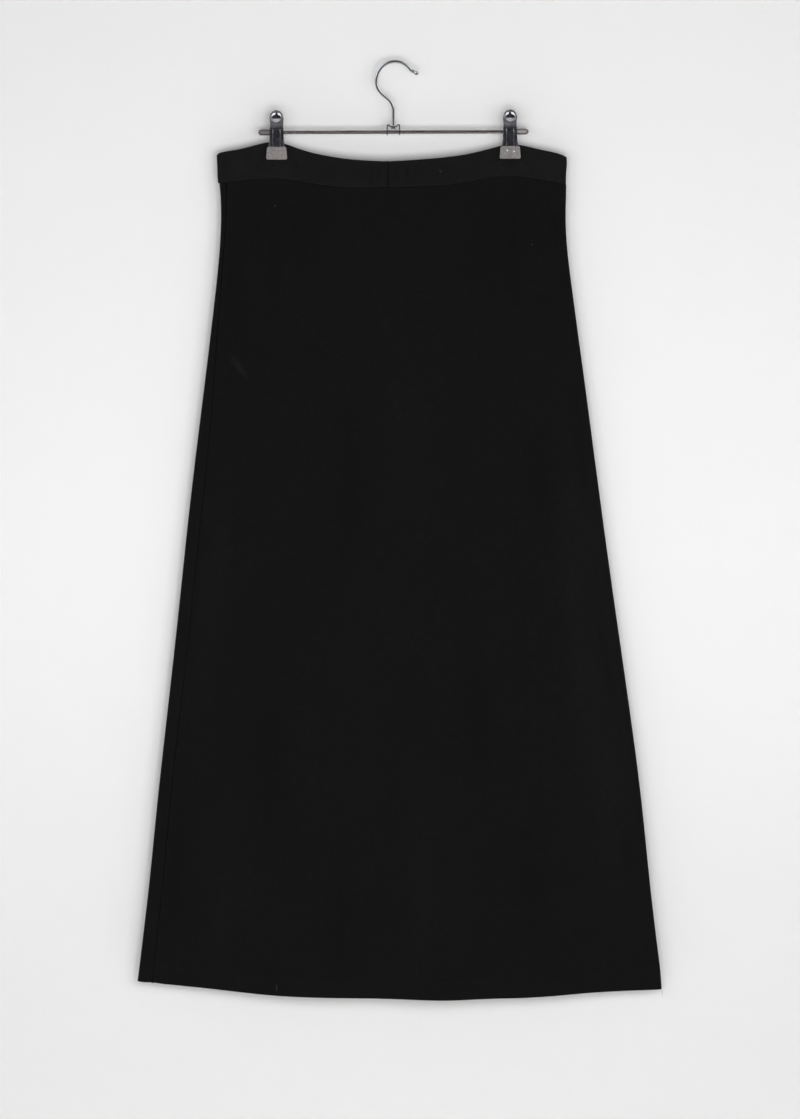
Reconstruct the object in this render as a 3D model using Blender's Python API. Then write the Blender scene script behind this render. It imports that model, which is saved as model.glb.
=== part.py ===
"""A long knitted A-line skirt, hung by its waistband from a wire hanger with two spring clips.

Metres, +Z up. The origin is the seat of the hook, where the hanger hangs on a rail. The shown side of
the skirt faces -Y, and +X is on the right of someone who looks at it. A drop is a distance below the
hook's seat. The skirt hangs as a flattened tube: its shown and hidden sides meet in a bend at each side.
"""

import math
from collections import namedtuple

import bmesh
import bpy
from mathutils import Vector

# Cloth
CLOTH = 0.0012
BAND_CLOTH = 0.0024
BAND_PROUD = 0.0005
HEM_TURN = 0.022
HEM_STEP = 0.0010
SEAM_GAP = 0.0003

# Hanger: hook, saddle and bar
HOOK_WIRE = 0.0038
HOOK_INSIDE = 0.0190
HOOK_JOIN_ANGLE = 230
HOOK_TIP_ANGLE = 36
HOOK_FLARE_ANGLE = 26
HOOK_FLARE_RADIUS = 0.006
HOOK_TIP_STRAIGHT = 0.0036
WIRE_SIDES = 3
NECK_RADIUS = 0.0155
STEM_X = -0.0021
BAR_DROP = 0.0764
BAR_RADIUS = 0.0020
BAR_HALF = 0.1500
HANGER_TILT = math.radians(-0.2)
SADDLE_SHEET = 0.0012
SADDLE_DEPTH = 0.0090
SADDLE_HALF = 0.0069
SADDLE_TOP_HALF = 0.0051
SADDLE_DIP_HALF = 0.0033
SADDLE_FOLD = 0.0011
SADDLE_RISE = 0.0077
SADDLE_DIP = 0.0056
SADDLE_FOOT = 0.0037
CAP_LENGTH = 0.0130
CAP_RADIUS = 0.0033
CAP_NOSE = 0.0040
CAP_EASE = 0.0003
CAP_SOCKET = 0.0070

# Spring clips
CLIP_X = 0.1295
PLATE = 0.0010
TAB_RISE = 0.0174
TAB_RADIUS = 0.0076
CLIP_FOOT = 0.0280
CROWN = 0.0010
CROWN_FROM = -0.0150
CROWN_EASE = 0.0080
DOME_RADIUS = 0.0054
DOME_HEIGHT = 0.0019
DOME_SINK = 0.0002
EAR_RADIUS = 0.0042
SHOWN_EAR_X = 0.0064
HIDDEN_EAR_X = 0.0051
EAR_ROOT = 0.0006
BOOT_HALF = 0.0119
BOOT_TOP_HALF = 0.0107
BOOT_CORNER = 0.0021
BOOT_TOP = 0.0163
BOOT_FOOT = 0.0305
BOOT_WALL = 0.0010
BOOT_ROUND = 0.0009
SPRING_WIRE = 0.0013
SPRING_SHOWN_X = 0.0040
SPRING_HIDDEN_X = 0.0024
SPRING_HOLE_RISE = 0.0014
SPRING_HOLE_OUT = 0.0120
SPRING_HOLE_IN = 0.0040
SPRING_FOOT = 0.0215

# The hook's wire swells where it is headed over the saddle's sheet and at its ball tip. Each step is how far
# it lies past the sheet's underside, the sheet's top or the tip, and its share of the wire's radius
Swell = namedtuple("Swell", "past share")
RIVET_HEAD = [
    Swell(-0.0019, 0.5),
    Swell(-0.0017, 1.35),
    Swell(-0.0007, 1.45),
    Swell(-0.0003, 1.40),
    Swell(-0.0002, 1.0),
]
COLLAR = [Swell(0.0002, 1.0), Swell(0.0004, 1.30), Swell(0.0010, 1.30), Swell(0.0012, 1.0)]
BALL = [
    Swell(0.0, 1.0),
    Swell(0.0006, 1.28),
    Swell(0.0018, 1.40),
    Swell(0.0030, 1.28),
    Swell(0.0038, 0.90),
    Swell(0.0042, 0.35),
]

# Where the cloth's outside lies under a clip, and so how far the two boots stand apart
CLIP_HALF = BAND_CLOTH + SEAM_GAP / 2
BOOT_INNER = CLIP_HALF + SEAM_GAP
PLATE_AT_JAW = BOOT_INNER + BOOT_WALL + SEAM_GAP + PLATE
BOOT_OUTER = PLATE_AT_JAW + SPRING_WIRE + 2 * SEAM_GAP + BOOT_WALL

# How far the cloth stands out at the middle of each side, and the radius of its bend at the sides
Depth = namedtuple("Depth", "drop shown hidden bend")
DEPTHS = [
    Depth(0.086, 0.0055, 0.0055, 0.0038),
    Depth(0.109, 0.0085, 0.0080, 0.0038),
    Depth(0.138, 0.0190, 0.0140, 0.0038),
    Depth(0.200, 0.0215, 0.0165, 0.0038),
    Depth(0.350, 0.0200, 0.0160, 0.0044),
    Depth(0.600, 0.0180, 0.0150, 0.0050),
    Depth(0.850, 0.0185, 0.0155, 0.0056),
    Depth(1.040, 0.0205, 0.0170, 0.0060),
]

# The outline seen from the front: the two bends of the waistband, then those of the skirt below it
Edge = namedtuple("Edge", "drop left right")
BAND_EDGES = [
    Edge(0.099, -0.1980, 0.1890),
    Edge(0.104, -0.1985, 0.1908),
    Edge(0.109, -0.1979, 0.1915),
    Edge(0.113, -0.1968, 0.1912),
    Edge(0.118, -0.1976, 0.1904),
    Edge(0.127, -0.1974, 0.1900),
    Edge(0.134, -0.1966, 0.1900),
]
SKIRT_EDGES = [
    Edge(0.133, -0.1952, 0.1903),
    Edge(0.141, -0.1939, 0.1904),
    Edge(0.175, -0.1929, 0.1890),
    Edge(0.218, -0.1955, 0.1924),
    Edge(0.263, -0.2004, 0.1984),
    Edge(0.374, -0.2138, 0.2135),
    Edge(0.485, -0.2276, 0.2281),
    Edge(0.596, -0.2392, 0.2433),
    Edge(0.707, -0.2514, 0.2594),
    Edge(0.818, -0.2642, 0.2744),
    Edge(0.929, -0.2747, 0.2848),
    Edge(1.018, -0.2862, 0.2965),
]

# How far each side seam lies from its bend: the left one on the shown side, the right one on the hidden side
SIDE_SEAMS = [
    Edge(0.133, 0.0083, 0.0078),
    Edge(0.175, 0.0057, 0.0066),
    Edge(0.205, 0.0052, 0.0064),
    Edge(0.307, 0.0083, 0.0080),
    Edge(0.374, 0.0117, 0.0100),
    Edge(0.463, 0.0146, 0.0125),
    Edge(0.740, 0.0150, 0.0140),
    Edge(1.018, 0.0170, 0.0160),
]

# The three level lines: the waistband's top edge, the seam under it, and the hem
Line = namedtuple("Line", "x drop")
TOP_EDGE = [
    Line(-0.1985, 0.1022),
    Line(-0.1950, 0.0995),
    Line(-0.1720, 0.0956),
    Line(-0.1500, 0.0897),
    Line(-0.1380, 0.0872),
    Line(-0.1250, 0.0886),
    Line(-0.1050, 0.0958),
    Line(-0.0830, 0.1018),
    Line(-0.0500, 0.1071),
    Line(-0.0100, 0.1093),
    Line(0.0280, 0.1073),
    Line(0.0720, 0.1027),
    Line(0.1120, 0.0933),
    Line(0.1270, 0.0892),
    Line(0.1430, 0.0916),
    Line(0.1610, 0.0960),
    Line(0.1830, 0.1005),
    Line(0.1915, 0.1048),
]
WAIST_SEAM = [
    Line(-0.1980, 0.1335),
    Line(-0.1840, 0.1325),
    Line(-0.1550, 0.1285),
    Line(-0.1310, 0.1280),
    Line(-0.1050, 0.1318),
    Line(-0.0500, 0.1393),
    Line(-0.0050, 0.1387),
    Line(0.0390, 0.1378),
    Line(0.0610, 0.1360),
    Line(0.1120, 0.1266),
    Line(0.1270, 0.1253),
    Line(0.1430, 0.1268),
    Line(0.1830, 0.1332),
    Line(0.1915, 0.1348),
]
HEM = [
    Line(-0.2870, 1.0190),
    Line(-0.2700, 1.0205),
    Line(-0.2160, 1.0255),
    Line(-0.1220, 1.0345),
    Line(-0.0500, 1.0366),
    Line(0.0100, 1.0376),
    Line(0.0550, 1.0388),
    Line(0.1050, 1.0372),
    Line(0.1390, 1.0366),
    Line(0.2280, 1.0304),
    Line(0.2980, 1.0278),
]

# The hung cloth's broad folds: ridges stand out, troughs have a height below zero
Fold = namedtuple("Fold", "side top_x foot_x half_width height top foot")
FOLDS = [
    Fold("shown", -0.100, -0.105, 0.042, 0.0050, 0.62, 1.44),
    Fold("shown", -0.030, -0.022, 0.030, -0.0040, 0.60, 1.42),
    Fold("shown", 0.040, 0.060, 0.036, 0.0065, 0.56, 1.50),
    Fold("shown", 0.128, 0.150, 0.034, -0.0050, 0.26, 0.90),
    Fold("shown", 0.175, 0.235, 0.034, 0.0050, 0.22, 1.02),
    Fold("shown", 0.170, 0.200, 0.040, 0.0035, 0.80, 1.40),
    Fold("shown", -0.165, -0.215, 0.034, 0.0045, 0.24, 1.00),
    Fold("shown", -0.105, -0.120, 0.040, -0.0035, 0.18, 0.70),
    Fold("hidden", -0.075, -0.090, 0.048, 0.0050, 0.46, 1.56),
    Fold("hidden", 0.020, 0.028, 0.034, -0.0045, 0.42, 1.50),
    Fold("hidden", 0.095, 0.120, 0.044, 0.0060, 0.38, 1.60),
    Fold("hidden", -0.150, -0.200, 0.036, -0.0040, 0.26, 1.10),
    Fold("hidden", 0.170, 0.210, 0.036, -0.0030, 0.50, 1.20),
]
FOLD_CLEAR = 0.035
CLIP_FLAT = 0.0128
CLIP_REACH = 0.046
CLIP_HOLD = 0.110
CLIP_FADE = 0.330
LENS_POWER = 1.5
BAND_SEAM_X = -0.0078

# The grids of the cloth
SHOWN_COLUMNS = 30
BEND_COLUMNS = 5
BAND_HALF_COLUMNS = 20
BAND_HIDDEN_COLUMNS = 34
BAND_ROWS = 4
SKIRT_ROWS = 14
SKIRT_ROW_EASE = 1.5

# A clip's pressed plate: half its width, and how far its outside stands from the mid plane
Plate = namedtuple("Plate", "rise half_width stand_off")
PLATES = [
    Plate(-0.0280, 0.0093, PLATE_AT_JAW),
    Plate(-0.0150, 0.0092, PLATE_AT_JAW),
    Plate(-0.0100, 0.0081, 0.0058),
    Plate(-0.0040, 0.0077, 0.0069),
    Plate(0.0040, 0.0074, 0.0076),
    Plate(0.0100, 0.0069, 0.0092),
    Plate(0.0174, 0.0076, 0.0127),
    Plate(0.0250, 0.0000, 0.0160),
]
PLATE_COLUMNS = 6
PLATE_ROWS = (-CLIP_FOOT, -0.0150, -0.0115, -0.0080, -0.0040, 0.0, 0.0040, 0.0080, 0.0125)
TAB_TURNS = (0, 30, 55, 75, 86)
SPRING_ROWS = (-SPRING_FOOT, -0.0150, -0.0100, -0.0040, 0.0002)
COIL_STEPS = 12


def curve(table, column):
    """A smooth function of a table's first column that passes through its rows and never overshoots."""
    places = [row[0] for row in table]
    values = [getattr(row, column) for row in table]
    gaps = [b - a for a, b in zip(places, places[1:])]
    rates = [(b - a) / gap for a, b, gap in zip(values, values[1:], gaps)]
    slopes = [rates[0]]
    for before, after in zip(rates, rates[1:]):
        slopes.append(2 * before * after / (before + after) if before * after > 0 else 0.0)
    slopes.append(rates[-1])

    def value(place):
        if place <= places[0]:
            return values[0]
        if place >= places[-1]:
            return values[-1]
        i = max(k for k, start in enumerate(places[:-1]) if start <= place)
        t = (place - places[i]) / gaps[i]
        rise = values[i + 1] - values[i]
        start, end = slopes[i] * gaps[i], slopes[i + 1] * gaps[i]
        return values[i] + t * start + t * t * (3 * rise - 2 * start - end) + t**3 * (start + end - 2 * rise)

    return value


def mix(a, b, share):
    return a + (b - a) * share


def ramp(value):
    """0 below 0, 1 above 1, and a smooth rise between."""
    t = min(1.0, max(0.0, value))
    return t * t * (3 - 2 * t)


MIDDLE_DEPTH = {"shown": curve(DEPTHS, "shown"), "hidden": curve(DEPTHS, "hidden")}
BEND = curve(DEPTHS, "bend")
SKIRT_LEFT, SKIRT_RIGHT = curve(SKIRT_EDGES, "left"), curve(SKIRT_EDGES, "right")
BAND_LEFT, BAND_RIGHT = curve(BAND_EDGES, "left"), curve(BAND_EDGES, "right")
LEFT_SEAM, RIGHT_SEAM = curve(SIDE_SEAMS, "left"), curve(SIDE_SEAMS, "right")
TOP_DROP, SEAM_DROP, HEM_DROP = curve(TOP_EDGE, "drop"), curve(WAIST_SEAM, "drop"), curve(HEM, "drop")


def folds_at(side, x, drop):
    """How far the broad folds of one side move the cloth out at a place."""
    out = 0.0
    for fold in FOLDS:
        along = (drop - fold.top) / (fold.foot - fold.top)
        if fold.side == side and 0 < along < 1:
            across = (x - mix(fold.top_x, fold.foot_x, along)) / fold.half_width
            out += fold.height * math.sin(math.pi * along) ** 2 * math.exp(-across * across)
    return out


def clip_hold(x, drop):
    """1 where a clip pinches the two sides together, fading to 0 around and below it."""
    held = 0.0
    for clip in (STEM_X - CLIP_X, STEM_X + CLIP_X):
        across = (abs(x - clip) - CLIP_FLAT) / CLIP_REACH
        held = max(held, 1 - ramp(across))
    return held * (1 - ramp((drop - CLIP_HOLD) / (CLIP_FADE - CLIP_HOLD)))


def stand_off(side, x, drop, left, right, proud):
    """The distance of the cloth's outside from the mid plane, on the shown or the hidden side."""
    bend = BEND(drop)
    from_bend = min(x - left, right - x) - bend
    off_centre = (2 * x - left - right) / (right - left - 2 * bend)
    lens = max(0.0, 1 - off_centre * off_centre) ** LENS_POWER
    free = bend + (MIDDLE_DEPTH[side](drop) + proud - bend) * lens
    free += folds_at(side, x, drop) * ramp(from_bend / FOLD_CLEAR)
    return mix(free, CLIP_HALF, clip_hold(x, drop))


# One column of a sheet of cloth: the face of the tube it is on, and its share of the way across a stretch
Column = namedtuple("Column", "face start end share")


def columns(*stretches):
    """The columns of stretches (face, start, end, count) that follow each other round the tube."""
    found = []
    for face, start, end, count in stretches:
        for i in range(1 if found else 0, count + 1):
            found.append(Column(face, start, end, i / count))
    return found


def cloth_point(column, down, upper, lower, left_edge, right_edge, proud=0.0):
    """The outside point of a column, this share of the way down from the upper to the lower line."""
    x = 0.0 if column.face in ("shown", "hidden") else (1 if column.face == "right bend" else -1)
    for _ in range(4):
        drop = mix(upper(x), lower(x), down)
        left, right, bend = left_edge(drop), right_edge(drop), BEND(drop)
        turn = math.pi * column.share
        if column.face == "right bend":
            x, y = right - bend + bend * math.sin(turn), -bend * math.cos(turn)
        elif column.face == "left bend":
            x, y = left + bend - bend * math.sin(turn), bend * math.cos(turn)
        else:
            x = mix(column.start(drop), column.end(drop), column.share)
            out = stand_off(column.face, x, drop, left, right, proud)
            y = -out if column.face == "shown" else out
    return Vector((x, y, -drop))


def pull_in(points, first_row, last_row):
    """Draws a sheet's first and last columns, and the rows asked for, back by half a seam gap."""
    for row in points:
        row[0] += (row[1] - row[0]).normalized() * SEAM_GAP / 2
        row[-1] += (row[-2] - row[-1]).normalized() * SEAM_GAP / 2
    for point in points[0] if first_row else []:
        point.z -= SEAM_GAP / 2
    for point in points[-1] if last_row else []:
        point.z += SEAM_GAP / 2


def inner_points(points, thickness):
    """The inside of a sheet: each outside point moved level, square to its row, by its row's thickness."""
    inside = []
    for row, depth in zip(points, thickness):
        moved = []
        for i, point in enumerate(row):
            along = row[min(i + 1, len(row) - 1)] - row[max(i - 1, 0)]
            moved.append(point + Vector((-along.y, along.x, 0)).normalized() * depth)
        inside.append(moved)
    return inside


def sheet_object(name, points, thickness, material):
    """A sheet of cloth: its outside is the grid of points, and the list is how thick it is at each row."""
    bm = bmesh.new()
    for grid in (points, inner_points(points, thickness)):
        verts = [[bm.verts.new(point) for point in row] for row in grid]
        for upper, lower in zip(verts, verts[1:]):
            for i in range(len(upper) - 1):
                bm.faces.new((upper[i], lower[i], lower[i + 1], upper[i + 1]))
    rims = [edge for edge in bm.edges if edge.is_boundary]
    bmesh.ops.bridge_loops(bm, edges=rims)
    bmesh.ops.recalc_face_normals(bm, faces=bm.faces)
    return object_from(name, bm, material)


def object_from(name, bm, material, parent=None, smooth=True):
    mesh = bpy.data.meshes.new(name)
    bm.to_mesh(mesh)
    bm.free()
    if smooth:
        mesh.shade_smooth()
        mesh.set_sharp_from_angle(angle=math.radians(40))
    return link(bpy.data.objects.new(name, mesh), material, parent)


def link(obj, material, parent=None):
    bpy.context.scene.collection.objects.link(obj)
    obj.parent = parent
    if material:
        obj.data.materials.append(material)
    return obj


def cutter(obj):
    obj.hide_render = True
    obj.display_type = "WIRE"
    return obj


def boolean(obj, other, operation):
    modifier = obj.modifiers.new(other.name, "BOOLEAN")
    modifier.object = cutter(other)
    modifier.operation = operation
    modifier.solver = "EXACT"


def finish(name, colour, roughness, metallic):
    material = bpy.data.materials.new(name)
    material.use_nodes = True
    shader = material.node_tree.nodes["Principled BSDF"]
    shader.inputs["Base Color"].default_value = (*colour, 1.0)
    shader.inputs["Roughness"].default_value = roughness
    shader.inputs["Metallic"].default_value = metallic
    return material


def skirt_rows():
    """Shares of the way down a skirt panel, closer near the waist, and the two sides of the hem's step."""
    length = HEM_DROP(0.0) - SEAM_DROP(0.0)
    body = 1 - (HEM_TURN + HEM_STEP) / length
    rows = [body * (i / SKIRT_ROWS) ** SKIRT_ROW_EASE for i in range(SKIRT_ROWS + 1)]
    return rows + [1 - HEM_TURN / length, 1.0]


def skirt_panel(name, stretches, material):
    """A front or back panel, from the waist seam to the hem, doubled where the hem is turned up."""
    across = columns(*stretches)
    points = [
        [cloth_point(column, down, SEAM_DROP, HEM_DROP, SKIRT_LEFT, SKIRT_RIGHT) for column in across]
        for down in skirt_rows()
    ]
    pull_in(points, first_row=True, last_row=False)
    thickness = [CLOTH] * (len(points) - 2) + [2 * CLOTH] * 2
    return sheet_object(name, points, thickness, material)


def build_panels(material):
    def left_seam(drop):
        return SKIRT_LEFT(drop) + LEFT_SEAM(drop)

    def right_seam(drop):
        return SKIRT_RIGHT(drop) - RIGHT_SEAM(drop)

    def left_bend(drop):
        return SKIRT_LEFT(drop) + BEND(drop)

    def right_bend(drop):
        return SKIRT_RIGHT(drop) - BEND(drop)

    skirt_panel(
        "front_panel",
        [
            ("shown", left_seam, right_bend, SHOWN_COLUMNS),
            ("right bend", None, None, BEND_COLUMNS),
            ("hidden", right_bend, right_seam, 1),
        ],
        material,
    )
    skirt_panel(
        "back_panel",
        [
            ("hidden", right_seam, left_bend, SHOWN_COLUMNS),
            ("left bend", None, None, BEND_COLUMNS),
            ("shown", left_bend, left_seam, 1),
        ],
        material,
    )


def build_waistband(material):
    """One folded strip round the waist, whose ends meet in a seam at the middle of the shown side."""

    def seam(drop):
        return BAND_SEAM_X

    def left_bend(drop):
        return BAND_LEFT(drop) + BEND(drop)

    def right_bend(drop):
        return BAND_RIGHT(drop) - BEND(drop)

    strip = columns(
        ("shown", seam, right_bend, BAND_HALF_COLUMNS),
        ("right bend", None, None, BEND_COLUMNS),
        ("hidden", right_bend, left_bend, BAND_HIDDEN_COLUMNS),
        ("left bend", None, None, BEND_COLUMNS),
        ("shown", left_bend, seam, BAND_HALF_COLUMNS),
    )
    points = [
        [
            cloth_point(column, i / BAND_ROWS, TOP_DROP, SEAM_DROP, BAND_LEFT, BAND_RIGHT, BAND_PROUD)
            for column in strip
        ]
        for i in range(BAND_ROWS + 1)
    ]
    pull_in(points, first_row=False, last_row=True)
    sheet_object("waistband", points, [BAND_CLOTH] * len(points), material)


def wire(name, path, diameter, bevel_resolution, material, parent):
    """A bent wire. Each point of the path is (place, share of the wire's radius there)."""
    data = bpy.data.curves.new(name, "CURVE")
    data.dimensions = "3D"
    data.bevel_depth = diameter / 2
    data.bevel_resolution = bevel_resolution
    data.use_fill_caps = True
    spline = data.splines.new("POLY")
    spline.points.add(len(path) - 1)
    for point, (place, share) in zip(spline.points, path):
        point.co = (*place, 1.0)
        point.radius = share
    return link(bpy.data.objects.new(name, data), material, parent)


def arc(centre, radius, start, end, count):
    """Points on an arc in the XZ plane, from the start angle to the end angle in degrees."""
    angles = [math.radians(mix(start, end, i / count)) for i in range(count + 1)]
    return [Vector((centre[0] + radius * math.cos(a), 0, centre[1] + radius * math.sin(a))) for a in angles]


def hook_path():
    """The hook's wire from its riveted foot in the saddle, up the neck and round the bend to its tip."""
    radius = HOOK_INSIDE + HOOK_WIRE / 2
    neck_turn = HOOK_JOIN_ANGLE - 180
    bend = arc((0, -HOOK_INSIDE), radius, HOOK_JOIN_ANGLE, HOOK_TIP_ANGLE, 24)
    neck_end_x = STEM_X - NECK_RADIUS * (1 - math.cos(math.radians(neck_turn)))
    slant = Vector((-math.sin(math.radians(neck_turn)), 0, math.cos(math.radians(neck_turn))))
    neck_end = bend[0] + slant * ((neck_end_x - bend[0].x) / slant.x)
    neck_z = neck_end.z - NECK_RADIUS * math.sin(math.radians(neck_turn))
    neck = arc((STEM_X - NECK_RADIUS, neck_z), NECK_RADIUS, 0, neck_turn, 6)

    tip_radial = Vector((math.cos(math.radians(HOOK_TIP_ANGLE)), 0, math.sin(math.radians(HOOK_TIP_ANGLE))))
    flare_centre = bend[-1] + tip_radial * HOOK_FLARE_RADIUS
    flare_start = HOOK_TIP_ANGLE + 180
    flare_end = flare_start + HOOK_FLARE_ANGLE
    flare = arc((flare_centre.x, flare_centre.z), HOOK_FLARE_RADIUS, flare_start, flare_end, 4)
    heading = (flare[-1] - flare[-2]).normalized()
    tip = flare[-1] + heading * HOOK_TIP_STRAIGHT

    plate_top = -BAR_DROP + SADDLE_DIP + SADDLE_SHEET / 2
    plate_under = -BAR_DROP + SADDLE_DIP - SADDLE_SHEET / 2
    path = [(Vector((STEM_X, 0, plate_under + swell.past)), swell.share) for swell in RIVET_HEAD]
    path += [(Vector((STEM_X, 0, plate_top + swell.past)), swell.share) for swell in COLLAR]
    path += [(point, 1.0) for point in neck + bend + flare[1:]]
    return path + [(tip + heading * swell.past, swell.share) for swell in BALL]


def rounded(bm, edges, offset, segments):
    bmesh.ops.bevel(
        bm,
        geom=edges,
        offset=offset,
        segments=segments,
        profile=0.5,
        affect="EDGES",
        clamp_overlap=True,
        material=-1,
    )


def turned(name, profile, sides, material, parent):
    """A piece turned about its own Z axis, from profile points (distance from the axis, height)."""
    bm = bmesh.new()
    line = [bm.verts.new((r, 0, z)) for r, z in profile]
    edges = [bm.edges.new(pair) for pair in zip(line, line[1:])]
    bmesh.ops.spin(
        bm, geom=line + edges, cent=(0, 0, 0), axis=(0, 0, 1), angle=math.tau, steps=sides, use_merge=True
    )
    bmesh.ops.remove_doubles(bm, verts=bm.verts, dist=1e-6)
    bmesh.ops.recalc_face_normals(bm, faces=bm.faces)
    return object_from(name, bm, material, parent)


def cylinder(name, radius, length, sides, material=None, parent=None):
    bm = bmesh.new()
    bmesh.ops.create_cone(bm, cap_ends=True, segments=sides, radius1=radius, radius2=radius, depth=length)
    return object_from(name, bm, material, parent)


def box(name, low, high, material=None, parent=None):
    bm = bmesh.new()
    bmesh.ops.create_cube(bm, size=1.0)
    for vert in bm.verts:
        vert.co = Vector(mix(a, b, c + 0.5) for a, b, c in zip(low, high, vert.co))
    return object_from(name, bm, material, parent, smooth=False)


def build_bar(steel, plastic, hanger):
    """The straight wire bar through saddle and clips, with a moulded cap pushed on each end."""
    bar_end = BAR_HALF - CAP_LENGTH + CAP_SOCKET - SEAM_GAP
    bar = cylinder("bar", BAR_RADIUS, 2 * bar_end, 16, steel, hanger)
    bar.location = (STEM_X, 0, -BAR_DROP)
    bar.rotation_euler = (0, math.pi / 2, 0)
    bore = BAR_RADIUS + SEAM_GAP
    profile = [(0, CAP_SOCKET), (bore, CAP_SOCKET), (bore, 0)]
    profile += [(CAP_RADIUS - CAP_EASE, 0), (CAP_RADIUS, CAP_EASE)]
    for i in range(6):
        turn = math.radians(15 * i)
        profile.append((CAP_RADIUS * math.cos(turn), CAP_LENGTH - CAP_NOSE + CAP_NOSE * math.sin(turn)))
    profile.append((0, CAP_LENGTH))
    for side, name in ((-1, "bar_cap_left"), (1, "bar_cap_right")):
        cap = turned(name, profile, 12, plastic, hanger)
        cap.location = (STEM_X + side * (BAR_HALF - CAP_LENGTH), 0, -BAR_DROP)
        cap.rotation_euler = (0, side * math.pi / 2, 0)


def build_saddle(steel, hanger):
    """The folded strip that straddles the bar and carries the hook's foot in its dipped top."""
    half = [
        (SADDLE_HALF, -SADDLE_FOOT),
        (SADDLE_HALF, SADDLE_RISE),
        (SADDLE_TOP_HALF, SADDLE_RISE),
        (SADDLE_DIP_HALF, SADDLE_DIP),
    ]
    line = [(-x, z) for x, z in half] + [(x, z) for x, z in reversed(half)]
    bm = bmesh.new()
    near = [bm.verts.new((x, -SADDLE_DEPTH / 2, z)) for x, z in line]
    far = [bm.verts.new((x, SADDLE_DEPTH / 2, z)) for x, z in line]
    for i in range(len(line) - 1):
        bm.faces.new((near[i], near[i + 1], far[i + 1], far[i]))
    folds = [edge for edge in bm.edges if len(edge.link_faces) == 2]
    rounded(bm, folds, SADDLE_FOLD, 3)
    saddle = object_from("saddle", bm, steel, hanger)
    saddle.location = (STEM_X, 0, -BAR_DROP)
    sheet = saddle.modifiers.new("sheet", "SOLIDIFY")
    sheet.thickness = SADDLE_SHEET
    sheet.offset = 0
    sheet.use_even_offset = True
    bar_hole = cylinder("saddle_bar_hole", BAR_RADIUS + SEAM_GAP, 4 * SADDLE_HALF, 16, parent=saddle)
    bar_hole.rotation_euler = (0, math.pi / 2, 0)
    stem_hole = cylinder("saddle_stem_hole", HOOK_WIRE / 2 + SEAM_GAP, 2 * SADDLE_DEPTH, 16, parent=saddle)
    stem_hole.location = (0, 0, SADDLE_DIP)
    boolean(saddle, bar_hole, "DIFFERENCE")
    boolean(saddle, stem_hole, "DIFFERENCE")


PLATE_WIDTH, PLATE_OUT = curve(PLATES, "half_width"), curve(PLATES, "stand_off")


def plate_half_width(rise):
    """Half the width of a clip's plate. Its tab ends in a half disc."""
    if rise <= TAB_RISE:
        return PLATE_WIDTH(rise)
    return math.sqrt(max(0.0, TAB_RADIUS**2 - (rise - TAB_RISE) ** 2))


def plate_rises():
    """The heights of a plate's rows, close together round the tab's end."""
    return list(PLATE_ROWS) + [TAB_RISE + TAB_RADIUS * math.sin(math.radians(turn)) for turn in TAB_TURNS]


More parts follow.
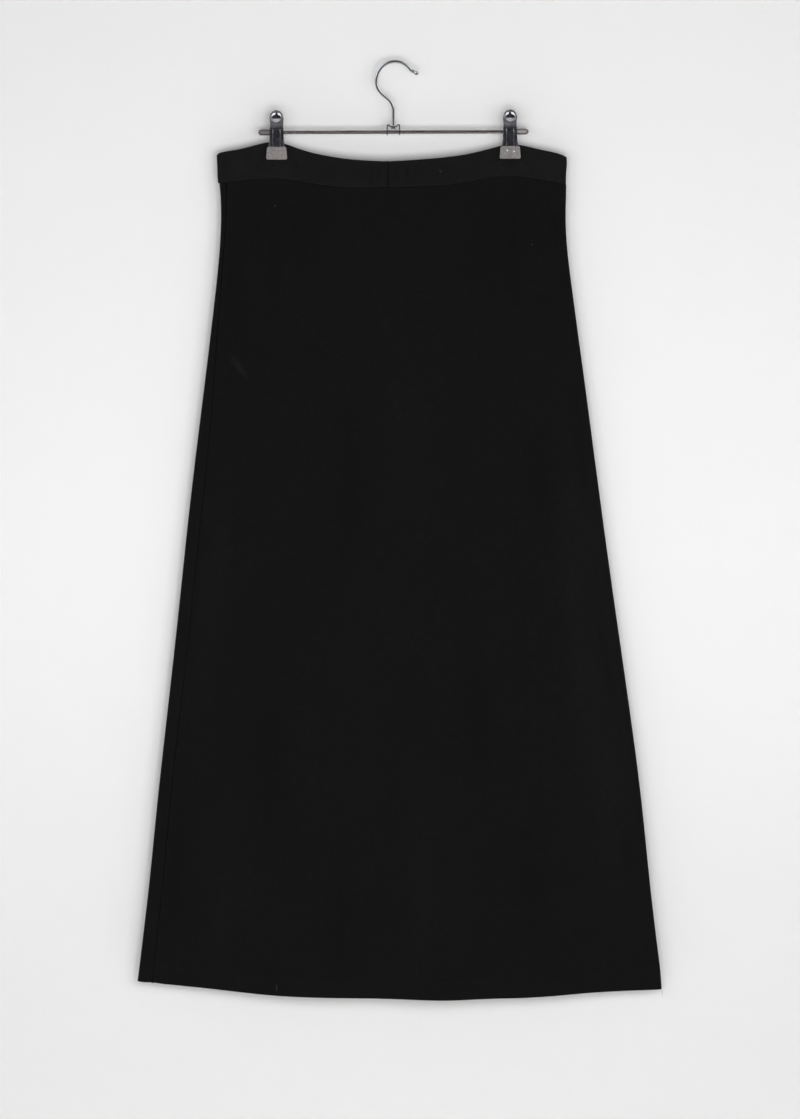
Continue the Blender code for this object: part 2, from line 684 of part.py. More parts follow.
def build_plate(name, side, ear_x, spring_x, steel, clip):
    """One pressed jaw of a clip: a thumb tab with a dome, ears that turn on the bar, a flat end in the boot."""
    rises = plate_rises()
    bm = bmesh.new()
    grid = []
    for rise in rises:
        half, out = plate_half_width(rise), PLATE_OUT(rise)
        crown = CROWN * ramp((rise - CROWN_FROM) / CROWN_EASE)
        row = []
        for i in range(PLATE_COLUMNS + 1):
            x = half * (2 * i / PLATE_COLUMNS - 1)
            row.append(bm.verts.new((x, crown * (x / TAB_RADIUS) ** 2 - out, rise)))
        grid.append(row)
    for lower, upper in zip(grid, grid[1:]):
        for i in range(PLATE_COLUMNS):
            bm.faces.new((lower[i], lower[i + 1], upper[i + 1], upper[i]))
    plate = object_from(name, bm, steel, clip)
    sheet = plate.modifiers.new("sheet", "SOLIDIFY")
    sheet.thickness = PLATE
    sheet.offset = -1
    sheet.use_even_offset = True
    plate.rotation_euler = (0, 0, 0 if side == "shown" else math.pi)

    lean = math.atan2(PLATE_OUT(TAB_RISE + 0.003) - PLATE_OUT(TAB_RISE - 0.003), 0.006)
    bm = bmesh.new()
    bmesh.ops.create_uvsphere(bm, u_segments=12, v_segments=8, radius=DOME_RADIUS)
    bmesh.ops.scale(bm, vec=(1, 1, DOME_HEIGHT / DOME_RADIUS), verts=bm.verts)
    dome = object_from(name + "_dome", bm, None, plate)
    dome.location = (0, DOME_SINK - PLATE_OUT(TAB_RISE), TAB_RISE)
    dome.rotation_euler = (math.pi / 2 + lean, 0, 0)
    boolean(plate, dome, "UNION")

    reach = PLATE_OUT(0.0) - EAR_ROOT
    for sign in (-1, 1):
        bm = bmesh.new()
        outline = [(-reach, -EAR_RADIUS), (-reach, EAR_RADIUS)]
        for turn in range(90, -91, -30):
            angle = math.radians(turn)
            outline.append((EAR_RADIUS * math.cos(angle), EAR_RADIUS * math.sin(angle)))
        face = bm.faces.new([bm.verts.new((sign * ear_x - PLATE / 2, y, z)) for y, z in outline])
        pushed = bmesh.ops.extrude_face_region(bm, geom=[face])["geom"]
        verts = [part for part in pushed if isinstance(part, bmesh.types.BMVert)]
        bmesh.ops.translate(bm, vec=(PLATE, 0, 0), verts=verts)
        bmesh.ops.recalc_face_normals(bm, faces=bm.faces)
        ear = object_from(f"{name}_ear_{'right' if sign > 0 else 'left'}", bm, None, plate)
        boolean(plate, ear, "UNION")

    hole = cylinder(name + "_bar_hole", BAR_RADIUS + SEAM_GAP, 4 * ear_x, 16, parent=plate)
    hole.rotation_euler = (0, math.pi / 2, 0)
    boolean(plate, hole, "DIFFERENCE")
    slot_half = SPRING_WIRE / 2 + SEAM_GAP
    for sign in (-1, 1):
        low = (sign * spring_x - slot_half, -SPRING_HOLE_OUT, SPRING_HOLE_RISE - slot_half)
        high = (sign * spring_x + slot_half, -SPRING_HOLE_IN, SPRING_HOLE_RISE + 2 * slot_half)
        slot = box(f"{name}_slot_{'right' if sign > 0 else 'left'}", low, high, parent=plate)
        boolean(plate, slot, "DIFFERENCE")


def build_boot(name, side, plastic, clip):
    """The soft grey sleeve on a jaw's end, wider at its foot, hollow for the plate and the spring's wire."""
    bm = bmesh.new()
    bmesh.ops.create_cube(bm, size=1.0)
    size = (2 * BOOT_HALF, BOOT_OUTER - BOOT_INNER, BOOT_FOOT - BOOT_TOP)
    bmesh.ops.scale(bm, vec=size, verts=bm.verts)
    for vert in bm.verts:
        if vert.co.z > 0:
            vert.co.x *= BOOT_TOP_HALF / BOOT_HALF
    corners = [edge for edge in bm.edges if edge.verts[0].co.y * edge.verts[1].co.y < 0]
    rounded(bm, corners, BOOT_CORNER, 3)
    rims = [edge for edge in bm.edges if edge.verts[0].co.y * edge.verts[1].co.y > 0]
    rounded(bm, rims, BOOT_ROUND, 2)
    middle = (0, -(BOOT_OUTER + BOOT_INNER) / 2, -(BOOT_TOP + BOOT_FOOT) / 2)
    bmesh.ops.translate(bm, vec=middle, verts=bm.verts)
    boot = object_from(name, bm, plastic, clip)
    boot.rotation_euler = (0, 0, 0 if side == "shown" else math.pi)
    half = PLATE_WIDTH(-CLIP_FOOT) + SEAM_GAP
    low = (-half, -(BOOT_OUTER - BOOT_WALL), -CLIP_FOOT - SEAM_GAP)
    high = (half, -(BOOT_INNER + BOOT_WALL), 0)
    boolean(boot, box(name + "_pocket", low, high, parent=boot), "DIFFERENCE")


def spring_half(coil_radius):
    """The right half of the spring's wire: up the shown leg, round the bar and down the hidden leg."""
    lie = SEAM_GAP / 2 + SPRING_WIRE / 2
    path = []
    for rise in SPRING_ROWS:
        path.append(Vector((SPRING_SHOWN_X, -(PLATE_OUT(rise) + lie), rise)))
    path.append(Vector((SPRING_SHOWN_X, -(PLATE_OUT(SPRING_HOLE_RISE) + lie * 0.6), SPRING_HOLE_RISE)))
    enter = Vector((0, -(PLATE_OUT(SPRING_HOLE_RISE) - PLATE), SPRING_HOLE_RISE + 0.0003))
    path.append(Vector((SPRING_SHOWN_X, enter.y, enter.z)))
    start = math.atan2(enter.z, enter.y) - math.acos(coil_radius / enter.length)
    turn = math.tau + 2 * start - math.pi
    leg = len(path)
    for i in range(COIL_STEPS + 1):
        angle = start - turn * i / COIL_STEPS
        x = mix(SPRING_SHOWN_X, SPRING_HIDDEN_X, i / COIL_STEPS)
        path.append(Vector((x, coil_radius * math.cos(angle), coil_radius * math.sin(angle))))
    return path + [Vector((SPRING_HIDDEN_X, -p.y, p.z)) for p in reversed(path[:leg])]


def build_spring(name, steel, clip):
    """A doubled spring: two coils round the bar, legs down both plates and a bridge in the shown boot."""
    half = spring_half(BAR_RADIUS + SEAM_GAP + SPRING_WIRE / 2)
    other = [Vector((-p.x, p.y, p.z)) for p in half]
    path = [(point, 1.0) for point in list(reversed(other)) + half]
    wire(name, path, SPRING_WIRE, 1, steel, clip)


def build_clip(word, side, dark_steel, steel, plastic, hanger):
    clip = bpy.data.objects.new(f"clip_{word}", None)
    link(clip, None, hanger)
    clip.location = (STEM_X + side * CLIP_X, 0, -BAR_DROP)
    build_plate(f"clip_{word}_front_jaw", "shown", SHOWN_EAR_X, SPRING_SHOWN_X, dark_steel, clip)
    build_plate(f"clip_{word}_back_jaw", "hidden", HIDDEN_EAR_X, SPRING_HIDDEN_X, dark_steel, clip)
    build_boot(f"clip_{word}_front_boot", "shown", plastic, clip)
    build_boot(f"clip_{word}_back_boot", "hidden", plastic, clip)
    build_spring(f"clip_{word}_spring", steel, clip)


def build_hanger():
    chrome = finish("bright chrome", (0.80, 0.80, 0.82), 0.08, 1.0)
    dark_steel = finish("black nickel steel", (0.16, 0.16, 0.18), 0.30, 1.0)
    boot_vinyl = finish("grey vinyl", (0.25, 0.24, 0.24), 0.55, 0.0)
    cap_plastic = finish("dark grey plastic", (0.10, 0.09, 0.09), 0.45, 0.0)
    hanger = bpy.data.objects.new("hanger", None)
    link(hanger, None)
    hanger.rotation_euler = (0, HANGER_TILT, 0)
    wire("hook", hook_path(), HOOK_WIRE, WIRE_SIDES, chrome, hanger)
    build_saddle(chrome, hanger)
    build_bar(dark_steel, cap_plastic, hanger)
    build_clip("left", -1, dark_steel, chrome, boot_vinyl, hanger)
    build_clip("right", 1, dark_steel, chrome, boot_vinyl, hanger)


def main():
    for obj in list(bpy.data.objects):
        bpy.data.objects.remove(obj, do_unlink=True)
    jersey = finish("black knitted jersey", (0.012, 0.011, 0.012), 0.90, 0.0)
    build_panels(jersey)
    build_waistband(jersey)
    build_hanger()


main()
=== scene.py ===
"""The looks of a long black jersey skirt that hangs from a wire hanger with two spring clips.

Metres, +Z up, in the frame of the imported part: the origin is the seat of the hook, the shown side faces
-Y and +X is to the right. A drop is a distance below the hook's seat.
"""

import math
from collections import namedtuple

import bmesh
import bpy
import numpy as np
from mathutils import Matrix, Vector, noise
from mathutils.bvhtree import BVHTree


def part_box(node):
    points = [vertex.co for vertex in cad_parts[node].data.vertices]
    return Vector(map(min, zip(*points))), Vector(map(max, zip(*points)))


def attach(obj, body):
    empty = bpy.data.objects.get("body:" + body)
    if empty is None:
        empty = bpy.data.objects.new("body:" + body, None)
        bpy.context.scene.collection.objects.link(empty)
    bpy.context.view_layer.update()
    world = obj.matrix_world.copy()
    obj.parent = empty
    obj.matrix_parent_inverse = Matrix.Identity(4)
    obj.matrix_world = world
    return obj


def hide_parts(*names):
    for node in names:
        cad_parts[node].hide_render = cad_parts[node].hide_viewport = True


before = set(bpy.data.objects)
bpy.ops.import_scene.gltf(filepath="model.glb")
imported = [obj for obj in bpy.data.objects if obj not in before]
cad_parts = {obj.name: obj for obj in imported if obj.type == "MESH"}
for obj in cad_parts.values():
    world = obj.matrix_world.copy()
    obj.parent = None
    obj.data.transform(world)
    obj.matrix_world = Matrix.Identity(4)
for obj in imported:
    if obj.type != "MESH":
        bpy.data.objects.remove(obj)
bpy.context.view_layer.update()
collection = bpy.context.scene.collection


# The room: a painted wall just behind the skirt, and a plain pale floor below it.
# Both are panels that show from their painted side only and throw no shadow, so that the skirt's back
# and its open foot can be seen and lit.
# Two dark cards that only mirrored rays meet stand for the studio's dark middle: the chrome's dark core.
WALL_Y = 0.0248
WALL_HALF_WIDTH = 1.70
WALL_TOP = 0.90
FLOOR_DROP = 1.55
FLOOR_SIZE = 14.0
WALL_PAINT = "#EFEFEF"
# The wall's paint is darker towards the floor: painted shade for the light that falls off lower down.
WALL_PAINTED_SHADE = 0.86
WALL_PAINTED_SHADE_FULL, WALL_PAINTED_SHADE_FROM = -1.15, -0.45
FLOOR_PAINT = "#CFCFCE"
PAINT_ROUGHNESS = 0.9


def linear(colour):
    """A hex colour as linear red, green, blue and an alpha of 1."""
    channels = [int(colour[i : i + 2], 16) / 255 for i in (1, 3, 5)]
    return (*(c / 12.92 if c <= 0.04045 else ((c + 0.055) / 1.055) ** 2.4 for c in channels), 1.0)


def add_node(material, kind, settings=None, inputs=None):
    """Adds a node. An input is a value, or the (node, output) that feeds it."""
    tree = material.node_tree
    added = tree.nodes.new("ShaderNode" + kind)
    for name, value in (settings or {}).items():
        setattr(added, name, value)
    for name, source in (inputs or {}).items():
        if isinstance(source, tuple) and isinstance(source[0], bpy.types.Node):
            tree.links.new(source[0].outputs[source[1]], added.inputs[name])
        else:
            added.inputs[name].default_value = source
    return added


def new_material(name, colour, roughness, metallic=0.0, **sockets):
    """A material with these uniform values. It returns the material, its shader and its coordinates."""
    material = bpy.data.materials.new(name)
    material.use_nodes = True
    shader = material.node_tree.nodes["Principled BSDF"]
    shader.inputs["Base Color"].default_value = linear(colour)
    shader.inputs["Roughness"].default_value = roughness
    shader.inputs["Metallic"].default_value = metallic
    for socket, value in sockets.items():
        shader.inputs[socket.replace("_", " ")].default_value = value
    return material, shader, add_node(material, "TexCoord")


def feed(material, shader, socket, source, output):
    material.node_tree.links.new(source.outputs[output], shader.inputs[socket])


def maths(material, operation, *sources):
    """Adds a maths node. Each source is a value, or the (node, output) that feeds it."""
    return add_node(material, "Math", {"operation": operation}, dict(enumerate(sources)))


def spread(material, source, source_range, target_range, kind="LINEAR"):
    """Maps what the (node, output) source gives from one range to another, and stops at the ends."""
    ends = dict(zip(("From Min", "From Max", "To Min", "To Max"), (*source_range, *target_range)))
    return add_node(material, "MapRange", {"interpolation_type": kind}, {"Value": source} | ends)


def shaded(material, colour, share):
    """A colour made darker or lighter by what the (node, output) share gives."""
    inputs = {"Vector": linear(colour)[:3], "Scale": share}
    return add_node(material, "VectorMath", {"operation": "SCALE"}, inputs)


def add_object(name, data, *materials):
    thing = bpy.data.objects.new(name, data)
    collection.objects.link(thing)
    for material in materials:
        data.materials.append(material)
    return thing


def mesh_from(name, bm, sharp_degrees=40):
    """Ends a bmesh as a mesh that is smooth but for edges sharper than the angle."""
    mesh = bpy.data.meshes.new(name)
    bm.to_mesh(mesh)
    bm.free()
    mesh.shade_smooth()
    mesh.set_sharp_from_angle(angle=math.radians(sharp_degrees))
    return mesh


def plane(name, half_x, half_y, material, matrix):
    bm = bmesh.new()
    bmesh.ops.create_grid(bm, x_segments=1, y_segments=1, size=1.0)
    bmesh.ops.scale(bm, vec=(half_x, half_y, 1), verts=bm.verts)
    bmesh.ops.transform(bm, matrix=matrix, verts=bm.verts)
    return add_object(name, mesh_from(name, bm), material)


def one_sided(material, shader):
    """Paint that shows from its own side only and stops no light, so that it hides nothing from behind."""
    geometry = add_node(material, "NewGeometry")
    ray = add_node(material, "LightPath")
    open_share = maths(material, "MAXIMUM", (geometry, "Backfacing"), (ray, "Is Shadow Ray"))
    clear = add_node(material, "BsdfTransparent")
    blend = {0: (open_share, "Value"), 1: (shader, "BSDF"), 2: (clear, "BSDF")}
    sides = add_node(material, "MixShader", inputs=blend)
    feed(material, material.node_tree.nodes["Material Output"], "Surface", sides, "Shader")


wall_paint, wall_shader, wall_coordinates = new_material("wall paint", WALL_PAINT, PAINT_ROUGHNESS)
wall_axes = add_node(wall_paint, "SeparateXYZ", inputs={"Vector": (wall_coordinates, "Object")})
# Painted shade: the wall paint darkens smoothly towards the floor.
wall_painted_shade = spread(
    wall_paint, (wall_axes, "Z"), (WALL_PAINTED_SHADE_FULL, WALL_PAINTED_SHADE_FROM), (WALL_PAINTED_SHADE, 1.0), "SMOOTHSTEP"
)
wall_tone_with_painted_shade = shaded(wall_paint, WALL_PAINT, (wall_painted_shade, "Result"))
feed(wall_paint, wall_shader, "Base Color", wall_tone_with_painted_shade, "Vector")
one_sided(wall_paint, wall_shader)
wall_height = FLOOR_DROP + WALL_TOP
wall_middle = Matrix.Translation((0, WALL_Y, WALL_TOP - wall_height / 2))
wall_place = wall_middle @ Matrix.Rotation(math.pi / 2, 4, "X")
wall = plane("wall", WALL_HALF_WIDTH, wall_height / 2, wall_paint, wall_place)
floor_paint, floor_shader = new_material("floor paint", FLOOR_PAINT, 0.8)[:2]
one_sided(floor_paint, floor_shader)
floor_place = Matrix.Translation((0, 0, -FLOOR_DROP))
floor = plane("floor", FLOOR_SIZE / 2, FLOOR_SIZE / 2, floor_paint, floor_place)
Card = namedtuple("Card", "name half_width foot top")
CARDS = [Card("low card", 3.20, -1.50, 0.45), Card("tall card", 0.62, 0.45, 3.20)]
CARD_Y = -2.2
dark_cloth = new_material("dark card", "#3A3A3E", 0.9)[0]
for size in CARDS:
    card_middle = Matrix.Translation((0, CARD_Y, (size.foot + size.top) / 2))
    card_place = card_middle @ Matrix.Rotation(-math.pi / 2, 4, "X")
    card = plane(size.name, size.half_width, (size.top - size.foot) / 2, dark_cloth, card_place)
    card.visible_camera = False
    card.visible_diffuse = False
    card.visible_shadow = False

# The camera stands level, 6 m away with a long lens, and takes in the whole photograph.
PHOTO_WIDTH, PHOTO_HEIGHT = 800, 1119
PIXEL = 0.00111
SEAT_COLUMN, SEAT_ROW = 395, 63.2
CAMERA_DISTANCE = 6.0
camera_data = bpy.data.cameras.new("camera")
camera = add_object("camera", camera_data)
camera_data.sensor_width = 36
camera_data.lens = camera_data.sensor_width * CAMERA_DISTANCE / (PHOTO_HEIGHT * PIXEL)
aim = Vector(((PHOTO_WIDTH / 2 - SEAT_COLUMN) * PIXEL, 0, -(PHOTO_HEIGHT / 2 - SEAT_ROW) * PIXEL))
camera.location = aim + Vector((0, -CAMERA_DISTANCE, 0))
camera.rotation_euler = (math.pi / 2, 0, 0)
bpy.context.scene.camera = camera
bpy.context.scene.view_settings.view_transform = "Standard"

# Three softboxes around the camera light the cloth and the wall. They stand low, so that shadows rise a
# little. One more, behind, shows the skirt's back to those who look at it. Two tall windows further round
# are what the polished metal mirrors, and they add no shadows.
Softbox = namedtuple("Softbox", "name x y z width height watts mirrored")
SOFTBOXES = [
    Softbox("softbox front", 0.10, -2.9, -0.68, 1.0, 1.0, 35, False),
    Softbox("softbox right", 0.95, -2.6, -0.50, 1.4, 1.1, 19, False),
    Softbox("softbox left", -0.80, -2.6, -0.50, 1.2, 1.1, 12, False),
    Softbox("softbox behind", -1.10, 2.6, 0.20, 1.3, 1.7, 220, False),
    Softbox("window right", 2.5, -2.4, 1.4, 3.4, 3.8, 75, True),
    Softbox("window left", -2.5, -2.4, 1.4, 3.4, 3.8, 75, True),
]
for box in SOFTBOXES:
    light = bpy.data.lights.new(box.name, "AREA")
    light.shape = "RECTANGLE"
    light.size, light.size_y = box.width, box.height
    light.energy = box.watts
    lamp = add_object(box.name, light)
    lamp.visible_camera = False
    lamp.visible_diffuse = not box.mirrored
    lamp.visible_glossy = box.mirrored
    lamp.location = (box.x, box.y, box.z)
    lamp.rotation_euler = (aim - lamp.location).to_track_quat("-Z", "Y").to_euler()

# The room gives a little light of its own, and looks paler than that past the wall and in polished metal
ROOM_LIGHT = 0.14
ROOM_LOOK = 0.80
ROOM_MIRRORED = 0.35
world = bpy.data.worlds.new("studio")
world.use_nodes = True
bpy.context.scene.world = world
backdrop = world.node_tree.nodes["Background"]
backdrop.inputs["Color"].default_value = linear("#F4F4F5")
ray = add_node(world, "LightPath")
seen = spread(world, (ray, "Is Camera Ray"), (0, 1), (ROOM_LIGHT, ROOM_LOOK))
mirrored = maths(
    world, "MULTIPLY_ADD", (ray, "Is Glossy Ray"), ROOM_MIRRORED - ROOM_LIGHT, (seen, "Result")
)
feed(world, backdrop, "Strength", mirrored, "Value")


# The skirt's front and back panels: a heavy, fine-gauge black jersey, cut with the grain to an A-line.
# They are sewn together at two plain side seams, pressed flat, and the hem is turned up 22 mm inside.
# Each is its solid made fine, a closed wall of cloth, given its creases and its pressed seams.
HEM_TURN = 0.022
SEAM_CLOSE = 0.00025
RIM_ANGLE = math.radians(60)
LEVEL_RIM = 0.7
QUAD_SHAPE = math.radians(80)
FINE_LEVELS = 3
BORDER = 0.0012
WALE = 0.0016
COURSE = 0.0013
V_LEAN = 1.3
KNIT_DEPTH = 0.00025
FUZZ_SIZE, FUZZ_DEPTH = 0.0007, 0.0003
MOTTLE_SIZE, MOTTLE_TONES = 0.0024, (0.76, 1.24)
CLOUD_SIZE, CLOUD_TONES = 0.070, (0.96, 1.04)
# The creases' relief is painted into the jersey's tone: painted highlight on ridges, painted shade in
# troughs.
RELIEF_LIGHT_AND_SHADE_TONES = (0.84, 1.28)
NOISE_MIDDLE = (0.3, 0.7)
BLACK_JERSEY = "#0F0E0F"
# The band's jersey is the skirt's painted lighter: painted light where the band catches more light.
BAND_JERSEY_PAINTED_LIGHTER = "#151415"
# A pale streak near the left hip: a painted highlight of a small crease.
STREAK_HIGHLIGHT_PLACE = (-0.1732, -0.0070, -0.3372)
STREAK_HIGHLIGHT_TURN = (0, math.radians(53.6), 0)
STREAK_HIGHLIGHT_SIZE = (0.0190, 0.0120, 0.0048)
STREAK_HIGHLIGHT_CORE, STREAK_HIGHLIGHT_STRENGTH = 0.7, 0.80


def noise_of(material, place, size, detail, roughness=0.5):
    """Adds a noise texture with grains of about this size in metres."""
    inputs = {"Vector": (place, "Object"), "Scale": 1 / size, "Detail": detail, "Roughness": roughness}
    return add_node(material, "TexNoise", inputs=inputs)


def bump(material, strength, depth, height, **start):
    """Adds a bump from the (node, output) height, over the surface or over another bump's Normal."""
    return add_node(
        material, "Bump", inputs={"Strength": strength, "Distance": depth, "Height": height} | start
    )


def black_jersey(name, colour):
    """Wool and viscose jersey: it is dull, with a faint bloom of fuzz at grazing angles. Its stitches are
    drawn as V's 1.6 mm wide, twice the real gauge of about 0.8 mm, because finer ones would not show."""
    dull = {"Specular_IOR_Level": 0.08, "Sheen_Weight": 0.06, "Sheen_Roughness": 0.30}
    material, shader, place = new_material(name, colour, 0.88, **dull)
    axes = add_node(material, "SeparateXYZ", inputs={"Vector": (place, "Object")})
    wale = maths(material, "DIVIDE", (axes, "X"), WALE)
    across = maths(material, "PINGPONG", (wale, "Value"), 0.5)
    course = maths(material, "DIVIDE", (axes, "Z"), COURSE)
    leaning = maths(material, "MULTIPLY_ADD", (across, "Value"), V_LEAN, (course, "Value"))
    loop = maths(material, "PINGPONG", (leaning, "Value"), 0.5)
    rib = maths(material, "MULTIPLY", (across, "Value"), (across, "Value"))
    stitch = maths(material, "ADD", (loop, "Value"), (rib, "Value"))
    knit = bump(material, 0.35, KNIT_DEPTH, (stitch, "Value"))
    hairs = noise_of(material, place, FUZZ_SIZE, 3, 0.6)
    fuzz = bump(material, 0.25, FUZZ_DEPTH, (hairs, "Fac"), Normal=(knit, "Normal"))
    feed(material, shader, "Normal", fuzz, "Normal")

    # The yarn's tone: fine mottling, faint clouds, painted highlight on ridges and painted shade in troughs,
    # and a pale streak of painted highlight
    specks = noise_of(material, place, MOTTLE_SIZE, 3, 0.6)
    mottle = spread(material, (specks, "Fac"), NOISE_MIDDLE, MOTTLE_TONES)
    drifts = noise_of(material, place, CLOUD_SIZE, 3, 0.6)
    clouds = spread(material, (drifts, "Fac"), NOISE_MIDDLE, CLOUD_TONES)
    relief = add_node(material, "Attribute", {"attribute_name": "relief"})
    relief_light_and_shade = spread(material, (relief, "Fac"), (-1, 1), RELIEF_LIGHT_AND_SHADE_TONES)
    # Painted highlight: a pale streak near the left hip, where a small crease catches the light.
    streak = {"Location": STREAK_HIGHLIGHT_PLACE, "Rotation": STREAK_HIGHLIGHT_TURN, "Scale": STREAK_HIGHLIGHT_SIZE}
    streak_highlight_place = add_node(
        material, "Mapping", {"vector_type": "TEXTURE"}, {"Vector": (place, "Object")} | streak
    )
    streak_highlight = add_node(
        material, "TexGradient", {"gradient_type": "SPHERICAL"}, {"Vector": (streak_highlight_place, "Vector")}
    )
    streak_highlight_share = spread(material, (streak_highlight, "Fac"), (0, STREAK_HIGHLIGHT_CORE), (0, STREAK_HIGHLIGHT_STRENGTH))
    tone = maths(material, "MULTIPLY", (mottle, "Result"), (clouds, "Result"))
    tone = maths(material, "MULTIPLY_ADD", (tone, "Value"), (relief_light_and_shade, "Result"), (streak_highlight_share, "Result"))
    yarn = shaded(material, colour, (tone, "Value"))
    feed(material, shader, "Base Color", yarn, "Vector")
    return material


def merged_copy(node):
    """A CAD node's mesh with its loose triangles joined, as a bmesh."""
    bm = bmesh.new()
    bm.from_mesh(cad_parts[node].data)
    bmesh.ops.remove_doubles(bm, verts=bm.verts, dist=1e-6)
    return bm


def join_triangles(bm, bend):
    """Joins pairs of triangles that bend less than this at their edge into four-sided faces."""
    bmesh.ops.join_triangles(bm, faces=bm.faces, angle_face_threshold=bend, angle_shape_threshold=QUAD_SHAPE)


def cloth_wall(node):
    """A fine copy of a cloth node's closed wall, with soft rims, and its sewn rims drawn together. It returns
    the mesh, and for each kind of rim the distance of each vertex from it."""
    bm = merged_copy(node)
    join_triangles(bm, math.radians(40))
    sides, seen = [], set()
    for seed in bm.faces:
        if seed in seen:
            continue
        island, front = {seed}, [seed]
        while front:
            for edge in front.pop().edges:
                if edge.calc_face_angle(0.0) < RIM_ANGLE:
                    fresh = [face for face in edge.link_faces if face not in island]
                    island.update(fresh)
                    front.extend(fresh)
        seen |= island
        sides.append([face for face in bm.faces if face in island])
    sides.sort(key=len)
    rims = [face for island in sides[:-2] for face in island]
    rim_kinds = {"seam": [], "upper": [], "lower": []}
    for face in rims:
        level = "upper" if face.normal.z > 0 else "lower"
        kind = "seam" if abs(face.normal.z) < LEVEL_RIM else level
        rim_kinds[kind].append(face)
    open_rim = "upper" if node == "waistband" else "lower"
    shifts = {}
    for kind, faces in rim_kinds.items():
        for face in faces if kind != open_rim else []:
            for vert in face.verts:
                shifts.setdefault(vert, {})[kind] = face.normal * SEAM_CLOSE
    for vert, moves in shifts.items():
        vert.co += sum(moves.values(), Vector())
    corners = [vert.co.copy() for vert in bm.verts]
    bm.verts.index_update()
    trees = {
        kind: BVHTree.FromPolygons(corners, [[vert.index for vert in face.verts] for face in faces])
        for kind, faces in rim_kinds.items()
    }
    sharp = bm.verts.layers.float.new("crease_vert")
    rim_verts = {kind: {vert for face in faces for vert in face.verts} for kind, faces in rim_kinds.items()}
    for vert in rim_verts["seam"] & (rim_verts["upper"] | rim_verts["lower"]):
        vert[sharp] = 1.0
    walls = [face for island in sides[-2:] for face in island]
    bmesh.ops.inset_region(bm, faces=walls, thickness=BORDER, use_boundary=True, use_even_offset=True)
    rough = add_object(node + "_rough", mesh_from(node, bm))
    smooth = rough.modifiers.new("fine", "SUBSURF")
    smooth.levels = smooth.render_levels = FINE_LEVELS
    fine = bpy.data.meshes.new_from_object(rough.evaluated_get(bpy.context.evaluated_depsgraph_get()))
    bpy.data.objects.remove(rough)
    points = [Vector(point) for point in points_of(fine)]
    away = {
        kind: np.array([tree.find_nearest(point)[3] for point in points]) for kind, tree in trees.items()
    }
    return fine, away


def points_of(mesh):
    points = np.empty(len(mesh.vertices) * 3)
    mesh.vertices.foreach_get("co", points)
    return points.reshape(-1, 3)


SIDE_APART = 0.05
SLICES = 60
BEND_EDGE, BEND_WIDTH = 0.0005, 0.0055


def ramp(values):
    """0 below 0, 1 above 1, and a smooth rise between."""
    share = np.clip(values, 0, 1)
    return share * share * (3 - 2 * share)


